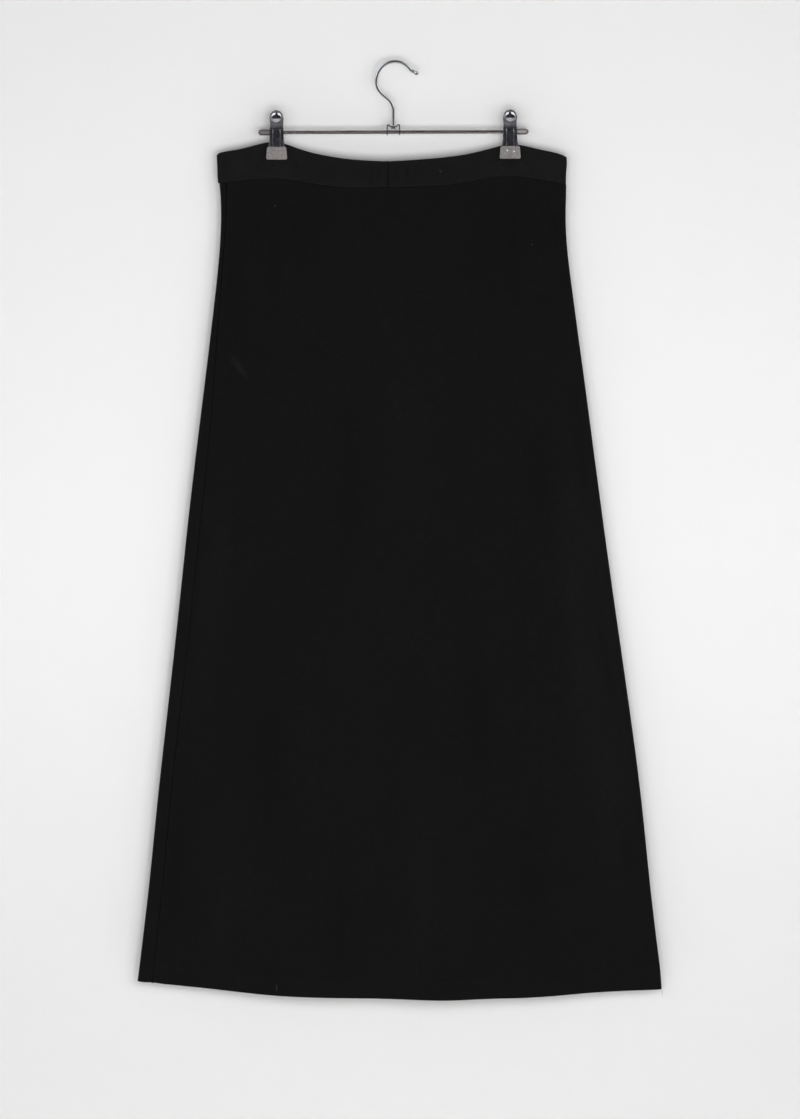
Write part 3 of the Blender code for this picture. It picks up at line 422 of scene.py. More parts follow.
# A crease is a soft ridge between two places on one side, or a trough where its height is below 0
Crease = namedtuple("Crease", "side x drop foot_x foot_drop bow half_width height")
CREASES = [
    # The broad ridge along the right side, and the valley beside it
    Crease("shown", 0.154, 0.380, 0.164, 0.580, 0.004, 0.018, -0.0011),
    Crease("shown", 0.186, 0.270, 0.262, 0.990, -0.006, 0.030, 0.0026),
    # The crease that runs just inside the right edge
    Crease("shown", 0.163, 0.150, 0.184, 0.206, 0.003, 0.0065, -0.0018),
    Crease("shown", 0.196, 0.330, 0.214, 0.520, 0.001, 0.0060, -0.0015),
    Crease("shown", 0.219, 0.540, 0.250, 0.760, -0.002, 0.0052, -0.0017),
    Crease("shown", 0.252, 0.800, 0.262, 0.940, 0.002, 0.0070, -0.0010),
    # Left side: a low ridge inside the seam, and the pull of the seam
    Crease("shown", -0.186, 0.390, -0.230, 0.800, 0.002, 0.018, 0.0014),
    Crease("shown", -0.172, 0.160, -0.182, 0.300, -0.004, 0.010, -0.0013),
    Crease("shown", -0.190, 0.470, -0.200, 0.600, 0.003, 0.009, 0.0008),
    Crease("shown", -0.236, 0.820, -0.250, 0.990, -0.002, 0.013, -0.0011),
    # Drag lines that hang from the clips
    Crease("shown", -0.120, 0.132, -0.092, 0.235, -0.006, 0.0075, -0.0012),
    Crease("shown", -0.134, 0.132, -0.140, 0.290, 0.004, 0.0085, -0.0012),
    Crease("shown", -0.147, 0.134, -0.168, 0.225, 0.004, 0.0070, -0.0009),
    Crease("shown", 0.114, 0.130, 0.086, 0.250, 0.006, 0.0080, -0.0012),
    Crease("shown", 0.129, 0.130, 0.134, 0.275, -0.003, 0.0090, -0.0014),
    Crease("shown", 0.143, 0.132, 0.160, 0.215, -0.004, 0.0065, -0.0009),
    # Long, low waves of the hanging cloth
    Crease("shown", -0.052, 0.340, -0.060, 0.620, 0.006, 0.018, -0.0009),
    Crease("shown", 0.010, 0.300, 0.018, 0.520, -0.005, 0.020, 0.0008),
    Crease("shown", 0.078, 0.560, 0.088, 0.840, 0.006, 0.018, -0.0011),
    Crease("shown", -0.126, 0.640, -0.140, 0.900, -0.006, 0.020, -0.0010),
    Crease("shown", 0.020, 0.760, 0.030, 1.030, 0.004, 0.016, 0.0011),
    Crease("shown", -0.060, 0.840, -0.066, 1.040, 0.003, 0.014, -0.0010),
    Crease("shown", 0.148, 0.800, 0.166, 1.035, -0.004, 0.015, -0.0011),
    Crease("shown", -0.190, 0.880, -0.200, 1.030, 0.002, 0.013, 0.0009),
    # The hidden side hangs in like folds of its own
    Crease("hidden", -0.118, 0.132, -0.088, 0.240, -0.005, 0.0080, -0.0013),
    Crease("hidden", -0.136, 0.132, -0.146, 0.300, 0.003, 0.0085, -0.0011),
    Crease("hidden", 0.116, 0.130, 0.092, 0.230, 0.005, 0.0075, -0.0012),
    Crease("hidden", 0.136, 0.131, 0.150, 0.285, -0.004, 0.0090, -0.0013),
    Crease("hidden", -0.020, 0.330, -0.030, 0.640, 0.007, 0.020, -0.0013),
    Crease("hidden", 0.060, 0.380, 0.072, 0.760, -0.006, 0.022, 0.0012),
    Crease("hidden", -0.150, 0.420, -0.182, 0.800, 0.005, 0.017, 0.0013),
    Crease("hidden", 0.150, 0.300, 0.196, 0.700, 0.006, 0.018, -0.0014),
    Crease("hidden", -0.080, 0.700, -0.096, 1.020, -0.005, 0.017, -0.0012),
    Crease("hidden", 0.118, 0.760, 0.140, 1.030, 0.004, 0.015, -0.0012),
    Crease("hidden", 0.010, 0.820, 0.004, 1.040, 0.003, 0.014, 0.0010),
    Crease("hidden", -0.196, 0.620, -0.226, 0.900, 0.002, 0.009, -0.0011),
    Crease("hidden", 0.214, 0.560, 0.236, 0.860, -0.003, 0.010, -0.0010),
]


END_TAPER = 1.4


def crease_heights(points, creases):
    """How far the creases push each point out."""
    total = np.zeros(len(points))
    for crease in creases:
        own_side = points[:, 1] > 0 if crease.side == "hidden" else points[:, 1] <= 0
        start = np.array([crease.x, crease.drop])
        line = np.array([crease.foot_x, crease.foot_drop]) - start
        length = np.hypot(*line)
        places = np.column_stack([points[:, 0], -points[:, 2]]) - start
        along = places @ line / length**2
        taper = np.sin(math.pi * np.clip(along, 0, 1)) ** END_TAPER
        off = (places[:, 0] * line[1] - places[:, 1] * line[0]) / length - crease.bow * taper
        total += crease.height * taper * np.exp(-((off / crease.half_width) ** 2)) * own_side
    return total


def uneven(points, size, seed):
    """Smooth unevenness from -1 to 1, with bumps of about this size, the same through the wall."""
    shift = Vector((seed, 2 * seed, 3 * seed))
    return np.array(
        [noise.noise(Vector((x, math.copysign(SIDE_APART, y), z)) / size + shift) for x, y, z in points]
    )


def flat_share(points):
    """1 over the flat of each side, and 0 at the bends that join them."""
    slices = np.linspace(points[:, 2].min(), points[:, 2].max(), SLICES)
    reach = 0.6 * (slices[1] - slices[0])
    rows = [points[np.abs(points[:, 2] - level) < reach, 0] for level in slices]
    left = np.interp(points[:, 2], slices, [row.min() for row in rows])
    right = np.interp(points[:, 2], slices, [row.max() for row in rows])
    return ramp((np.minimum(points[:, 0] - left, right - points[:, 0]) - BEND_EDGE) / BEND_WIDTH)


def push_out(mesh, heights, creases, full_relief):
    """Moves each side of the tube straight out by heights and creases, and leaves its bends as they are.
    The attribute relief keeps the creases, from -1 in a deep trough to 1 on a high ridge; the jersey
    turns it into painted shade in troughs and painted highlight on ridges."""
    points = points_of(mesh)
    flat = flat_share(points)
    points[:, 1] += np.where(points[:, 1] > 0, 1, -1) * (heights + creases) * flat
    mesh.vertices.foreach_set("co", points.ravel())
    relief = mesh.attributes.new("relief", "FLOAT", "POINT")
    relief.data.foreach_set("value", np.clip(creases * flat / full_relief, -1, 1))
    mesh.update()
    mesh.shade_smooth()


FULL_RELIEF = 0.0018
SEAM_ROLL = 0.0016
SEAM_SINK = 0.0008
WAIST_SINK = 0.0005
HEM_PROUD = 0.0004
HEM_SOFT = 0.0020
HEM_WAVE = 0.00012
SWELL, SWELL_SIZE = 0.0006, 0.090
RIPPLE, RIPPLE_SIZE = 0.00022, 0.022
PUCKER, PUCKER_SIZE = 0.0003, 0.012
SEAM_PULL, WAIST_PULL = 0.010, 0.012


def skirt_panel(node, material, seed):
    mesh, rims = cloth_wall(node)
    points = points_of(mesh)
    seams, waist, hem = rims["seam"], rims["upper"], rims["lower"]
    heights = SWELL * uneven(points, SWELL_SIZE, seed) + RIPPLE * uneven(points, RIPPLE_SIZE, seed + 5)
    pucker = 1 + 0.5 * uneven(points, PUCKER_SIZE, seed + 9)
    heights -= SEAM_SINK * (1 - ramp(seams / SEAM_ROLL)) + PUCKER * pucker * (1 - ramp(seams / SEAM_PULL))
    heights -= WAIST_SINK * (1 - ramp(waist / SEAM_ROLL)) + PUCKER * pucker * (1 - ramp(waist / WAIST_PULL))
    heights += (HEM_PROUD + HEM_WAVE * pucker) * (1 - ramp((hem - HEM_TURN) / HEM_SOFT))
    push_out(mesh, heights, crease_heights(points, CREASES), FULL_RELIEF)
    panel = add_object(node + "_cloth", mesh, material)
    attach(panel, "root")
    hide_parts(node)
    return panel


jersey = black_jersey("black wool and viscose jersey", BLACK_JERSEY)
for node, seed in (("front_panel", 3), ("back_panel", 17)):
    panel = skirt_panel(node, jersey, seed)


# The waistband: one strip of the same jersey, folded lengthways so that its top edge is the fold.
# Its ends meet in a short upright seam at the middle of the shown side, and its raw edges are sewn to the
# skirt. Its jersey is painted a shade lighter than the skirt's: painted light, where the band catches more
# light.
BAND_CREASES = [
    # Short drag lines beside and under the clips' boots
    Crease("shown", 0.110, 0.108, 0.124, 0.121, 0.000, 0.0022, 0.0006),
    Crease("shown", 0.118, 0.107, 0.133, 0.118, 0.000, 0.0018, -0.0005),
    Crease("shown", 0.136, 0.108, 0.147, 0.119, 0.000, 0.0022, 0.0006),
    Crease("shown", -0.147, 0.107, -0.158, 0.122, 0.000, 0.0030, -0.0005),
    Crease("shown", -0.116, 0.108, -0.104, 0.124, 0.000, 0.0030, -0.0006),
    Crease("shown", -0.168, 0.098, -0.176, 0.128, 0.001, 0.0050, 0.0006),
    Crease("shown", -0.190, 0.098, -0.191, 0.132, 0.000, 0.0018, -0.0007),
    Crease("shown", 0.166, 0.100, 0.174, 0.130, -0.001, 0.0050, 0.0005),
    # Ripples either side of the upright seam
    Crease("shown", -0.036, 0.108, -0.037, 0.138, 0.000, 0.0024, -0.0004),
    Crease("shown", -0.027, 0.109, -0.026, 0.138, 0.000, 0.0022, -0.0005),
    Crease("shown", -0.018, 0.110, -0.019, 0.138, 0.000, 0.0020, -0.0006),
    Crease("shown", 0.003, 0.110, 0.002, 0.138, 0.000, 0.0020, -0.0006),
    Crease("shown", 0.013, 0.109, 0.014, 0.138, 0.000, 0.0024, -0.0005),
    Crease("shown", 0.024, 0.108, 0.023, 0.137, 0.000, 0.0026, -0.0003),
    # The hidden side
    Crease("hidden", 0.108, 0.108, 0.120, 0.123, 0.000, 0.0028, 0.0006),
    Crease("hidden", -0.112, 0.108, -0.100, 0.124, 0.000, 0.0030, -0.0006),
    Crease("hidden", -0.150, 0.106, -0.162, 0.124, 0.000, 0.0030, 0.0006),
    Crease("hidden", 0.040, 0.106, 0.044, 0.136, 0.001, 0.0060, -0.0004),
    Crease("hidden", -0.050, 0.106, -0.046, 0.136, 0.001, 0.0060, 0.0004),
]
BAND_RELIEF = 0.0008
BAND_SEAM_SINK = 0.0008
BAND_SEAM_ROLL = 0.0020
BAND_RIPPLE, BAND_RIPPLE_SIZE = 0.00018, 0.014
BAND_SWELL, BAND_SWELL_SIZE = 0.0003, 0.050
BAND_FOOT_SINK, BAND_FOOT_ROLL = 0.0004, 0.0026
band_jersey_painted_lighter = black_jersey("black jersey, folded double", BAND_JERSEY_PAINTED_LIGHTER)
band_mesh, band_rims = cloth_wall("waistband")
band_points = points_of(band_mesh)
band_heights = BAND_RIPPLE * uneven(band_points, BAND_RIPPLE_SIZE, 41)
band_heights += BAND_SWELL * uneven(band_points, BAND_SWELL_SIZE, 43)
band_heights -= BAND_FOOT_SINK * (1 - ramp(band_rims["lower"] / BAND_FOOT_ROLL))
band_creases = crease_heights(band_points, BAND_CREASES)
# The seam also sinks in the relief, so the jersey is painted darker along it: painted shade in the seam.
band_creases -= BAND_SEAM_SINK * (1 - ramp(band_rims["seam"] / BAND_SEAM_ROLL))
push_out(band_mesh, band_heights, band_creases, BAND_RELIEF)
band = add_object("waistband_cloth", band_mesh, band_jersey_painted_lighter)
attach(band, "root")
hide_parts("waistband")


# The hanger's finishes. Chrome is bright and nearly without grain, and shows the room as sharp bright
# edges and dark cores. Black nickel is a thin, dark, satin plating. Both are worn dull in faint patches.
GRAIN_SIZE = 0.0006


def metal(name, colour, roughness, patch_size, grain_depth):
    material, shader, place = new_material(name, colour, roughness, 1.0)
    patches = noise_of(material, place, patch_size, 4)
    dull = spread(material, (patches, "Fac"), (0.35, 0.75), (roughness * 0.8, roughness + 0.12))
    feed(material, shader, "Roughness", dull, "Result")
    grain = noise_of(material, place, GRAIN_SIZE, 2)
    skin = bump(material, 0.15, grain_depth, (grain, "Fac"))
    feed(material, shader, "Normal", skin, "Normal")
    return material


chrome = metal("chrome plated wire", "#BDBEC1", 0.06, 0.012, 0.00002)
black_nickel = metal("black nickel plated steel", "#707076", 0.30, 0.006, 0.00002)
bar_steel = metal("dull plated bar wire", "#968E8D", 0.28, 0.040, 0.00001)
spring_steel = metal("bright spring wire", "#94959A", 0.26, 0.004, 0.00002)

# The hook: 3.8 mm wire, bent cold and plated. Its foot is headed over under the saddle's top,
# and its free end is upset into a small ball so that it doesn't scratch.
HOOK_WIRE = 0.0038
HOOK_INSIDE = 0.0190
HOOK_JOIN_ANGLE = math.radians(230)
HOOK_TIP_ANGLE = math.radians(36)
FLARE_ANGLE = math.radians(26)
FLARE_RADIUS = 0.006
NECK_RADIUS = 0.0155
TIP_STRAIGHT = 0.0036
STEM_X = -0.0021
BAR_DROP = 0.0764
SADDLE_UNDER = 0.0050
HEAD_BELOW = 0.0019
HANGER_TILT = math.radians(-0.2)
WIRE_SIDES = 28
HEAD_WIDER, BALL_WIDER = 1.25, 1.40
BALL_STEPS = 12
# Each step up the headed foot: how far up, and how much wider
FOOT_STEPS = [(0.0003, 1.14), (0.0009, 1.00), (0.0004, 0.95), (0.0001, 0.74), (0.0014, 1.00)]
COLLAR_STEPS = [(0.0001, 1.30), (0.0006, 1.00), (0.0003, 0.92), (0.0001, 1 / (1.30 * 0.92))]


def ring_centre(verts):
    return sum((vert.co for vert in verts), Vector()) / len(verts)


def pull_ring(bm, edges, move, factor=1.0):
    """Extrudes a ring of edges, moves the new ring and scales it. It returns the new ring's edges."""
    made = bmesh.ops.extrude_edge_only(bm, edges=edges)["geom"]
    verts = [part for part in made if isinstance(part, bmesh.types.BMVert)]
    centre = ring_centre(verts)
    bmesh.ops.scale(bm, vec=(factor,) * 3, space=Matrix.Translation(-centre), verts=verts)
    bmesh.ops.translate(bm, vec=move, verts=verts)
    edges = [part for part in made if isinstance(part, bmesh.types.BMEdge)]
    return [edge for edge in edges if all(vert in verts for vert in edge.verts)]


def bend_ring(bm, edges, centre, angle, steps):
    """Spins a ring of edges in the XZ plane, anticlockwise from the front. It returns the last ring."""
    verts = list(dict.fromkeys(vert for edge in edges for vert in edge.verts))
    spun = bmesh.ops.spin(
        bm, geom=verts + edges, cent=centre, axis=(0, -1, 0), angle=angle, steps=steps, use_merge=False
    )
    return [part for part in spun["geom_last"] if isinstance(part, bmesh.types.BMEdge)]


def heading_at(angle):
    """The direction of travel, anticlockwise, at this angle round a circle in the XZ plane."""
    return Vector((-math.sin(angle), 0, math.cos(angle)))


def on_circle(centre, radius, angle):
    return Vector(centre) + radius * Vector((math.cos(angle), 0, math.sin(angle)))


def turn(bm, angle, axis):
    bmesh.ops.rotate(bm, cent=(0, 0, 0), matrix=Matrix.Rotation(angle, 3, axis), verts=bm.verts)


def tilt(bm):
    """Tilts a piece with the whole hanger, which hangs a little aslant."""
    turn(bm, HANGER_TILT, "Y")


def close_up(bm):
    """Fills open rings, merges doubles and turns all faces out."""
    bmesh.ops.holes_fill(bm, edges=[edge for edge in bm.edges if edge.is_boundary], sides=0)
    bmesh.ops.remove_doubles(bm, verts=bm.verts, dist=1e-7)
    bmesh.ops.recalc_face_normals(bm, faces=bm.faces)


bend_radius = HOOK_INSIDE + HOOK_WIRE / 2
bend_centre = Vector((0, 0, -HOOK_INSIDE))
bend_start = on_circle(bend_centre, bend_radius, HOOK_JOIN_ANGLE)
neck_turn = HOOK_JOIN_ANGLE - math.pi
neck_end_x = STEM_X - NECK_RADIUS * (1 - math.cos(neck_turn))
slant = heading_at(neck_turn)
slant_length = (bend_start.x - neck_end_x) / slant.x
neck_centre = Vector(
    (STEM_X - NECK_RADIUS, 0, (bend_start - slant * slant_length).z - NECK_RADIUS * math.sin(neck_turn))
)
wire_radius = HOOK_WIRE / 2
foot = -BAR_DROP + SADDLE_UNDER - HEAD_BELOW

bm = bmesh.new()
circle = bmesh.ops.create_circle(bm, segments=WIRE_SIDES, radius=wire_radius * HEAD_WIDER, cap_ends=False)
bmesh.ops.translate(bm, vec=(STEM_X, 0, foot), verts=circle["verts"])
ring = list(bm.edges)
for rise, factor in FOOT_STEPS + COLLAR_STEPS:
    ring = pull_ring(bm, ring, (0, 0, rise), factor)
ring = pull_ring(bm, ring, (0, 0, neck_centre.z - ring[0].verts[0].co.z))
ring = bend_ring(bm, ring, neck_centre, neck_turn, 14)
ring = pull_ring(bm, ring, slant * slant_length)
ring = bend_ring(bm, ring, bend_centre, HOOK_TIP_ANGLE - HOOK_JOIN_ANGLE, 64)
flare_centre = on_circle(bend_centre, bend_radius + FLARE_RADIUS, HOOK_TIP_ANGLE)
ring = bend_ring(bm, ring, flare_centre, FLARE_ANGLE, 8)
tip_heading = -heading_at(HOOK_TIP_ANGLE + FLARE_ANGLE)
ring = pull_ring(bm, ring, tip_heading * TIP_STRAIGHT)
ball_radius = wire_radius * BALL_WIDER
ball_start = math.asin(1 / BALL_WIDER)
ball_reach = ball_radius * math.cos(ball_start)
size = wire_radius
for step in range(1, BALL_STEPS):
    angle = ball_start + (math.pi - ball_start) * step / BALL_STEPS
    new_size = ball_radius * math.sin(angle)
    new_reach = -ball_radius * math.cos(angle)
    ring = pull_ring(bm, ring, tip_heading * (new_reach + ball_reach), new_size / size)
    size, ball_reach = new_size, -new_reach
close_up(bm)
tilt(bm)
hook = add_object("hook_wire", mesh_from("hook_wire", bm, 50), chrome)
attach(hook, "root")
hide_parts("hook")


# The saddle: a strip of 1.2 mm steel, folded over the bar and plated bright, with a dipped top for the
# hook's foot. It keeps the pressed form of its solid, with its edges eased and its faces smooth.
def eased_copy(node, name, material, width, sharp_degrees):
    """A CAD node's own shape with its edges eased, so that they catch the light."""
    bm = merged_copy(node)
    bmesh.ops.dissolve_limit(bm, angle_limit=math.radians(0.5), verts=bm.verts, edges=bm.edges)
    piece = add_object(name, mesh_from(name, bm, sharp_degrees), material)
    edges = piece.modifiers.new("eased edges", "BEVEL")
    edges.width = width
    edges.segments = 2
    edges.limit_method = "ANGLE"
    edges.angle_limit = math.radians(sharp_degrees)
    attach(piece, "root")
    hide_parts(node)
    return piece


saddle = eased_copy("saddle", "saddle_steel", chrome, 0.00018, 50)


# The bar and its caps: straight 4 mm wire with a dull plating, and a moulded dark grey cap pushed on each
# end. The caps have a matt, finely pitted skin, painted paler on the side that faces the lights as a
# painted highlight, and a round nose so that they don't catch.
BAR_RADIUS = 0.0020
BAR_HALF = 0.1500
BAR_IN_CAP = 0.0065
CAP_LENGTH = 0.0130
CAP_RADIUS = 0.0033
CAP_NOSE = CAP_RADIUS * 1.2
CAP_EASE = 0.0003
CAP_SOCKET = 0.0060
CAP_RIM = [(0.90, 0.0), (0.97, 0.0002), (1.00, 0.0008)]
NOSE_STEPS = 12
CAP_GREY = "#4A4645"
LIT_FRONT_FROM, LIT_FRONT_FULL = -0.0021, -0.0034


def moulded_plastic(name, colour, roughness, speck, depth, **sockets):
    material, shader, place = new_material(name, colour, roughness, **sockets)
    pits = noise_of(material, place, speck, 3)
    skin = bump(material, 0.4, depth, (pits, "Fac"))
    feed(material, shader, "Normal", skin, "Normal")
    clouds = noise_of(material, place, 3 * speck, 4)
    tones = add_node(material, "ValToRGB", inputs={"Fac": (clouds, "Fac")})
    for stop, position, share in zip(tones.color_ramp.elements, (0.35, 0.68), (0.74, 1.26)):
        stop.position = position
        stop.color = (*(channel * share for channel in linear(colour)[:3]), 1)
    feed(material, shader, "Base Color", tones, "Color")
    return material


def lit_front_plastic(name, lit_front_colour):
    """The caps' plastic: dark grey, with a painted highlight that makes the shown side paler."""
    material = moulded_plastic(name, lit_front_colour, 0.42, 0.0005, 0.00004)
    shader = material.node_tree.nodes["Principled BSDF"]
    lit_front_tones = shader.inputs["Base Color"].links[0].from_node
    place = add_node(material, "TexCoord")
    axes = add_node(material, "SeparateXYZ", inputs={"Vector": (place, "Object")})
    # Painted highlight: the cap is paler on the side that faces the lights.
    share = spread(material, (axes, "Y"), (LIT_FRONT_FROM, LIT_FRONT_FULL), (0, 1), "SMOOTHSTEP")
    tones = {"Fac": (share, "Result"), "Color1": linear(CAP_GREY), "Color2": (lit_front_tones, "Color")}
    grey = add_node(material, "MixRGB", inputs=tones)
    feed(material, shader, "Base Color", grey, "Color")
    return material


bm = bmesh.new()
bar_length = 2 * (BAR_HALF - CAP_LENGTH + BAR_IN_CAP)
bmesh.ops.create_cone(
    bm, cap_ends=True, segments=40, radius1=BAR_RADIUS, radius2=BAR_RADIUS, depth=bar_length
)
turn(bm, math.pi / 2, "Y")
bmesh.ops.translate(bm, vec=(STEM_X, 0, -BAR_DROP), verts=bm.verts)
tilt(bm)
bar = add_object("bar_wire", mesh_from("bar_wire", bm), bar_steel)
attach(bar, "root")
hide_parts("bar")

for side, word, lit_front_grey in ((-1, "left", "#6C6867"), (1, "right", "#95908F")):
    socket = BAR_RADIUS + CAP_EASE
    profile = [(socket, CAP_SOCKET), (socket, 0.0)]
    profile += [(CAP_RADIUS * share, height) for share, height in CAP_RIM]
    for step in range(NOSE_STEPS):
        angle = math.pi / 2 * step / NOSE_STEPS
        height = CAP_LENGTH - CAP_NOSE + CAP_NOSE * math.sin(angle)
        profile.append((CAP_RADIUS * math.cos(angle), height))
    profile.append((0.0, CAP_LENGTH))
    bm = bmesh.new()
    line = [bm.verts.new((radius, 0, height)) for radius, height in profile]
    edges = [bm.edges.new(pair) for pair in zip(line, line[1:])]
    bmesh.ops.spin(
        bm, geom=line + edges, cent=(0, 0, 0), axis=(0, 0, 1), angle=math.tau, steps=40, use_merge=True
    )
    close_up(bm)
    turn(bm, side * math.pi / 2, "Y")
    bmesh.ops.translate(bm, vec=(STEM_X + side * (BAR_HALF - CAP_LENGTH), 0, -BAR_DROP), verts=bm.verts)
    tilt(bm)
    name = f"bar_cap_{word}_moulding"
    cap_plastic = lit_front_plastic(f"rubbed dark grey plastic, {word}", lit_front_grey)
    cap = add_object(name, mesh_from(name, bm, 50), cap_plastic)
    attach(cap, "root")
    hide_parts(f"bar_cap_{word}")


# The clips: two pressed plates of 1 mm steel, hinged on the bar by their ears, with a polished dome on each
# tab. A doubled spring of bright wire is wound round the bar, and its legs press the plates' feet together.
# Soft frosted vinyl boots are pushed on the feet, so that the cloth isn't marked.
CLIP_X = 0.1295
TAB_RISE = 0.0156
TAB_ROOT = 0.0040
TAB_NECK = 0.0098
TAB_LOWER = 0.0019
DOME_RADIUS = 0.0067
DOME_HEIGHT = 0.0036
DOME_OUT = 0.0124
DOME_LEAN = math.radians(15)
polished_nickel = metal("polished black nickel dome", "#B2B2B6", 0.07, 0.010, 0.00001)
boot_vinyl = moulded_plastic(
    "frosted grey vinyl", "#837F7E", 0.46, 0.0007, 0.00010, Subsurface_Weight=0.25, Subsurface_Scale=0.002
)
BOOT_HALF = 0.0119
BOOT_TOP_HALF = 0.0107
BOOT_TOP, BOOT_FOOT = 0.0163, 0.0305
BOOT_CORNER = 0.0021
BOOT_RIM = 0.0010
BOOT_LIP, BOOT_SINK_WIDTH, BOOT_SINK = 0.0005, 0.0004, 0.00012


def rounded(bm, edges, radius, segments):
    bmesh.ops.bevel(
        bm,
        geom=edges,
        offset=radius,
        segments=segments,
        profile=0.5,
        affect="EDGES",
        clamp_overlap=True,
        material=-1,
    )


def soft_boot(node):
    """A sleeve that swells a little over the plate inside it, wider at its foot, with rolled rims."""
    low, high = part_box(node)
    bm = bmesh.new()
    bmesh.ops.create_cube(bm, size=1.0)
    size = (2 * BOOT_HALF, high.y - low.y, BOOT_FOOT - BOOT_TOP)
    bmesh.ops.scale(bm, vec=size, verts=bm.verts)
    for vert in bm.verts:
        if vert.co.z > 0:
            vert.co.x *= BOOT_TOP_HALF / BOOT_HALF
    rounded(bm, [edge for edge in bm.edges if edge.verts[0].co.y * edge.verts[1].co.y < 0], BOOT_CORNER, 6)
    rounded(bm, [edge for edge in bm.edges if edge.verts[0].co.y * edge.verts[1].co.y > 0], BOOT_RIM, 4)
    broad = [face for face in bm.faces if abs(face.normal.y) > 0.99 and len(face.verts) > 8]
    bmesh.ops.inset_region(bm, faces=broad, thickness=BOOT_LIP, depth=0.0, use_even_offset=True)
    bmesh.ops.inset_region(
        bm, faces=broad, thickness=BOOT_SINK_WIDTH, depth=-BOOT_SINK, use_even_offset=True
    )
    bmesh.ops.translate(bm, vec=(low + high) / 2, verts=bm.verts)
    boot = add_object(node + "_vinyl", mesh_from(node + "_vinyl", bm, 60), boot_vinyl)
    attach(boot, "root")
    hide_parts(node)


for word, side in (("left", -1), ("right", 1)):
    for jaw, out in (("front", -1), ("back", 1)):
        node = f"clip_{word}_{jaw}_jaw"
        plate = eased_copy(node, node + "_steel", black_nickel, 0.00012, 45)
        # The tab is drawn a little shorter than its solid's, as in the photo
        for vert in plate.data.vertices:
            above_root = (vert.co.z + BAR_DROP - TAB_ROOT) / (TAB_NECK - TAB_ROOT)
            vert.co.z -= TAB_LOWER * min(max(above_root, 0), 1)

        bm = bmesh.new()
        bmesh.ops.create_uvsphere(bm, u_segments=40, v_segments=24, radius=DOME_RADIUS)
        bmesh.ops.scale(bm, vec=(1, 1, DOME_HEIGHT / DOME_RADIUS), verts=bm.verts)
        turn(bm, math.pi / 2 + DOME_LEAN, "X")
        bmesh.ops.translate(bm, vec=(0, -DOME_OUT, TAB_RISE), verts=bm.verts)
        if out > 0:
            turn(bm, math.pi, "Z")
        bmesh.ops.translate(bm, vec=(STEM_X + side * CLIP_X, 0, -BAR_DROP), verts=bm.verts)
        tilt(bm)
        name = f"clip_{word}_{jaw}_dome"
        dome = add_object(name, mesh_from(name, bm), polished_nickel)
        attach(dome, "root")

        soft_boot(f"clip_{word}_{jaw}_boot")

    node = f"clip_{word}_spring"
    bm = merged_copy(node)
    join_triangles(bm, math.radians(50))
    spring = add_object(node + "_wire", mesh_from(node + "_wire", bm, 180), spring_steel)
    rounding = spring.modifiers.new("round wire", "SUBSURF")
    rounding.levels = rounding.render_levels = 2
    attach(spring, "root")
    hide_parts(node)


# Two light dots on the right front boot, where the ends of the spring's legs press the vinyl from inside.
# They are part of the soft sleeve, stretched thin and pale.
LegEnd = namedtuple("LegEnd", "x drop")
LEG_ENDS = [LegEnd(0.1243, 0.0975), LegEnd(0.1321, 0.0984)]
LEG_END_RADIUS = 0.0009
LEG_END_OUT = 0.00005
thin_vinyl = moulded_plastic("vinyl pressed thin", "#E4E1DE", 0.40, 0.0004, 0.00003)
boot_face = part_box("clip_right_front_boot")[0].y
bm = bmesh.new()
for end in LEG_ENDS:
    dot = bmesh.ops.create_uvsphere(bm, u_segments=20, v_segments=12, radius=LEG_END_RADIUS)["verts"]
    bmesh.ops.scale(bm, vec=(1.0, 0.3, 0.8), verts=dot)
    bmesh.ops.translate(bm, vec=(end.x, boot_face + LEG_END_OUT, -end.drop), verts=dot)
leg_ends = add_object("clip_right_leg_ends", mesh_from("clip_right_leg_ends", bm), thin_vinyl)
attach(leg_ends, "root")


# Lint: a few grey fibres that cling to the cloth, and the cut end of a thread at the hem's right end.
# Each is a fine, slightly bent strand of spun fibre.
Fibre = namedtuple("Fibre", "x drop foot_x foot_drop bow radius")
FIBRES = [
    Fibre(-0.1338, 0.1578, -0.1325, 0.1592, 0.0003, 0.00026),
    Fibre(0.0493, 0.1201, 0.0506, 0.1213, 0.0003, 0.00034),
    Fibre(0.0510, 0.1216, 0.0516, 0.1224, -0.0001, 0.00022),
    Fibre(0.1514, 0.2010, 0.1527, 0.2024, 0.0003, 0.00024),
    Fibre(-0.1312, 1.0215, -0.1308, 1.0290, 0.0003, 0.00014),
]
THREAD_END = Fibre(0.2950, 1.0250, 0.2964, 1.0362, 0.0007, 0.00011)
LINT_TONE = "#504E4B"
LINT_SIZE = 0.002
FIBRE_STEPS = 8
EDGE_Y = -0.008
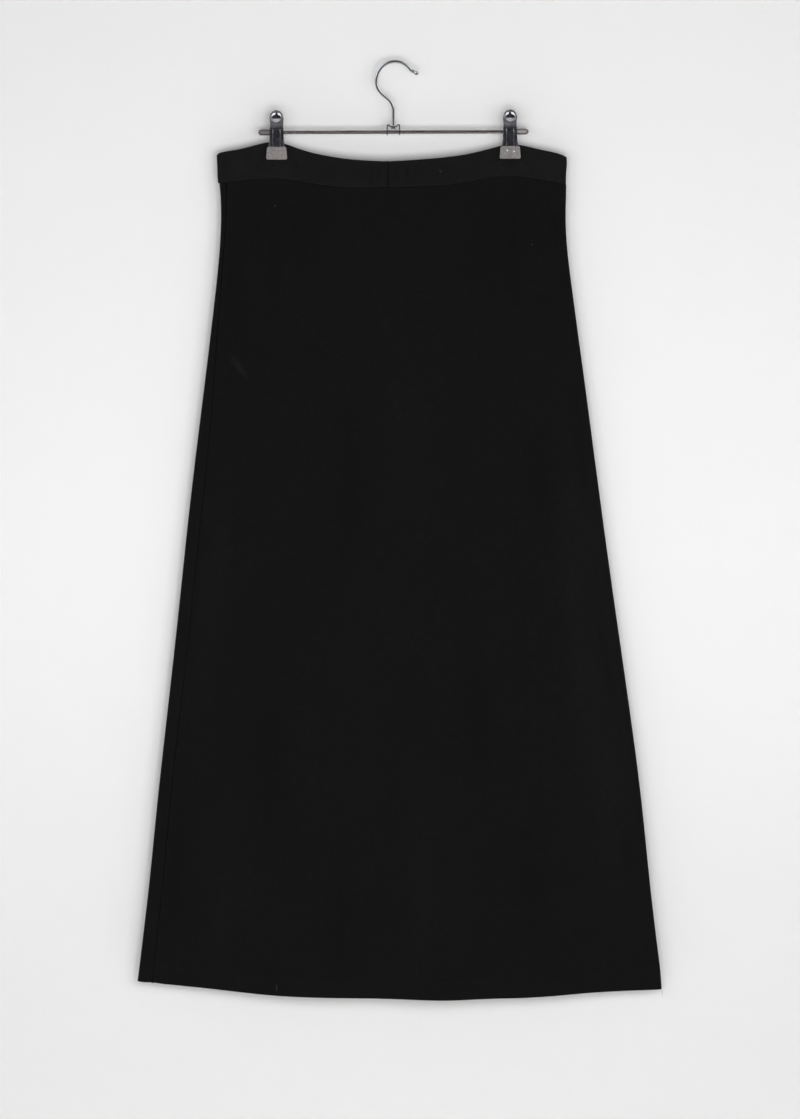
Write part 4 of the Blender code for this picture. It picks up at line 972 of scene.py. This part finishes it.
depsgraph = bpy.context.evaluated_depsgraph_get()
front_cloth = bpy.data.objects["front_panel_cloth"]
surfaces = [BVHTree.FromObject(piece, depsgraph) for piece in (front_cloth, band)]


def on_shown_side(x, drop):
    """The place on the shown side of the cloth at this x and drop, or None past its edge."""
    for surface in surfaces:
        hit = surface.ray_cast(Vector((x, -0.2, -drop)), Vector((0, 1, 0)))[0]
        if hit:
            return hit
    return None


lint_material, lint_shader, lint_place = new_material("pale lint", LINT_TONE, 0.9)
lint_clouds = noise_of(lint_material, lint_place, LINT_SIZE, 2)
lint_tones = add_node(lint_material, "ValToRGB", inputs={"Fac": (lint_clouds, "Fac")})
lint_tones.color_ramp.elements[0].color = linear("#3E3D3B")
lint_tones.color_ramp.elements[1].color = linear("#62605C")
feed(lint_material, lint_shader, "Base Color", lint_tones, "Color")
bm = bmesh.new()
for fibre in FIBRES + [THREAD_END]:
    path = []
    last = EDGE_Y
    for step in range(FIBRE_STEPS + 1):
        share = step / FIBRE_STEPS
        x = fibre.x + (fibre.foot_x - fibre.x) * share + fibre.bow * math.sin(math.pi * share)
        drop = fibre.drop + (fibre.foot_drop - fibre.drop) * share
        found = on_shown_side(x, drop)
        last = found.y if found else last
        path.append(Vector((x, last - fibre.radius * 0.8, -drop)))
    heading = (path[1] - path[0]).normalized()
    before = set(bm.verts)
    bmesh.ops.create_circle(bm, segments=6, radius=fibre.radius * 0.5, cap_ends=True)
    made = [vert for vert in bm.verts if vert not in before]
    bmesh.ops.rotate(bm, cent=(0, 0, 0), matrix=heading.to_track_quat("Z", "Y").to_matrix(), verts=made)
    bmesh.ops.translate(bm, vec=path[0], verts=made)
    ring = list(dict.fromkeys(edge for vert in made for edge in vert.link_edges))
    for step, (here, there) in enumerate(zip(path, path[1:])):
        factor = 2.0 if step == 0 else (0.5 if step == FIBRE_STEPS - 1 else 1.0)
        ring = pull_ring(bm, ring, there - here, factor)
close_up(bm)
lint = add_object("lint_and_thread_end", mesh_from("lint_and_thread_end", bm), lint_material)
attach(lint, "root")
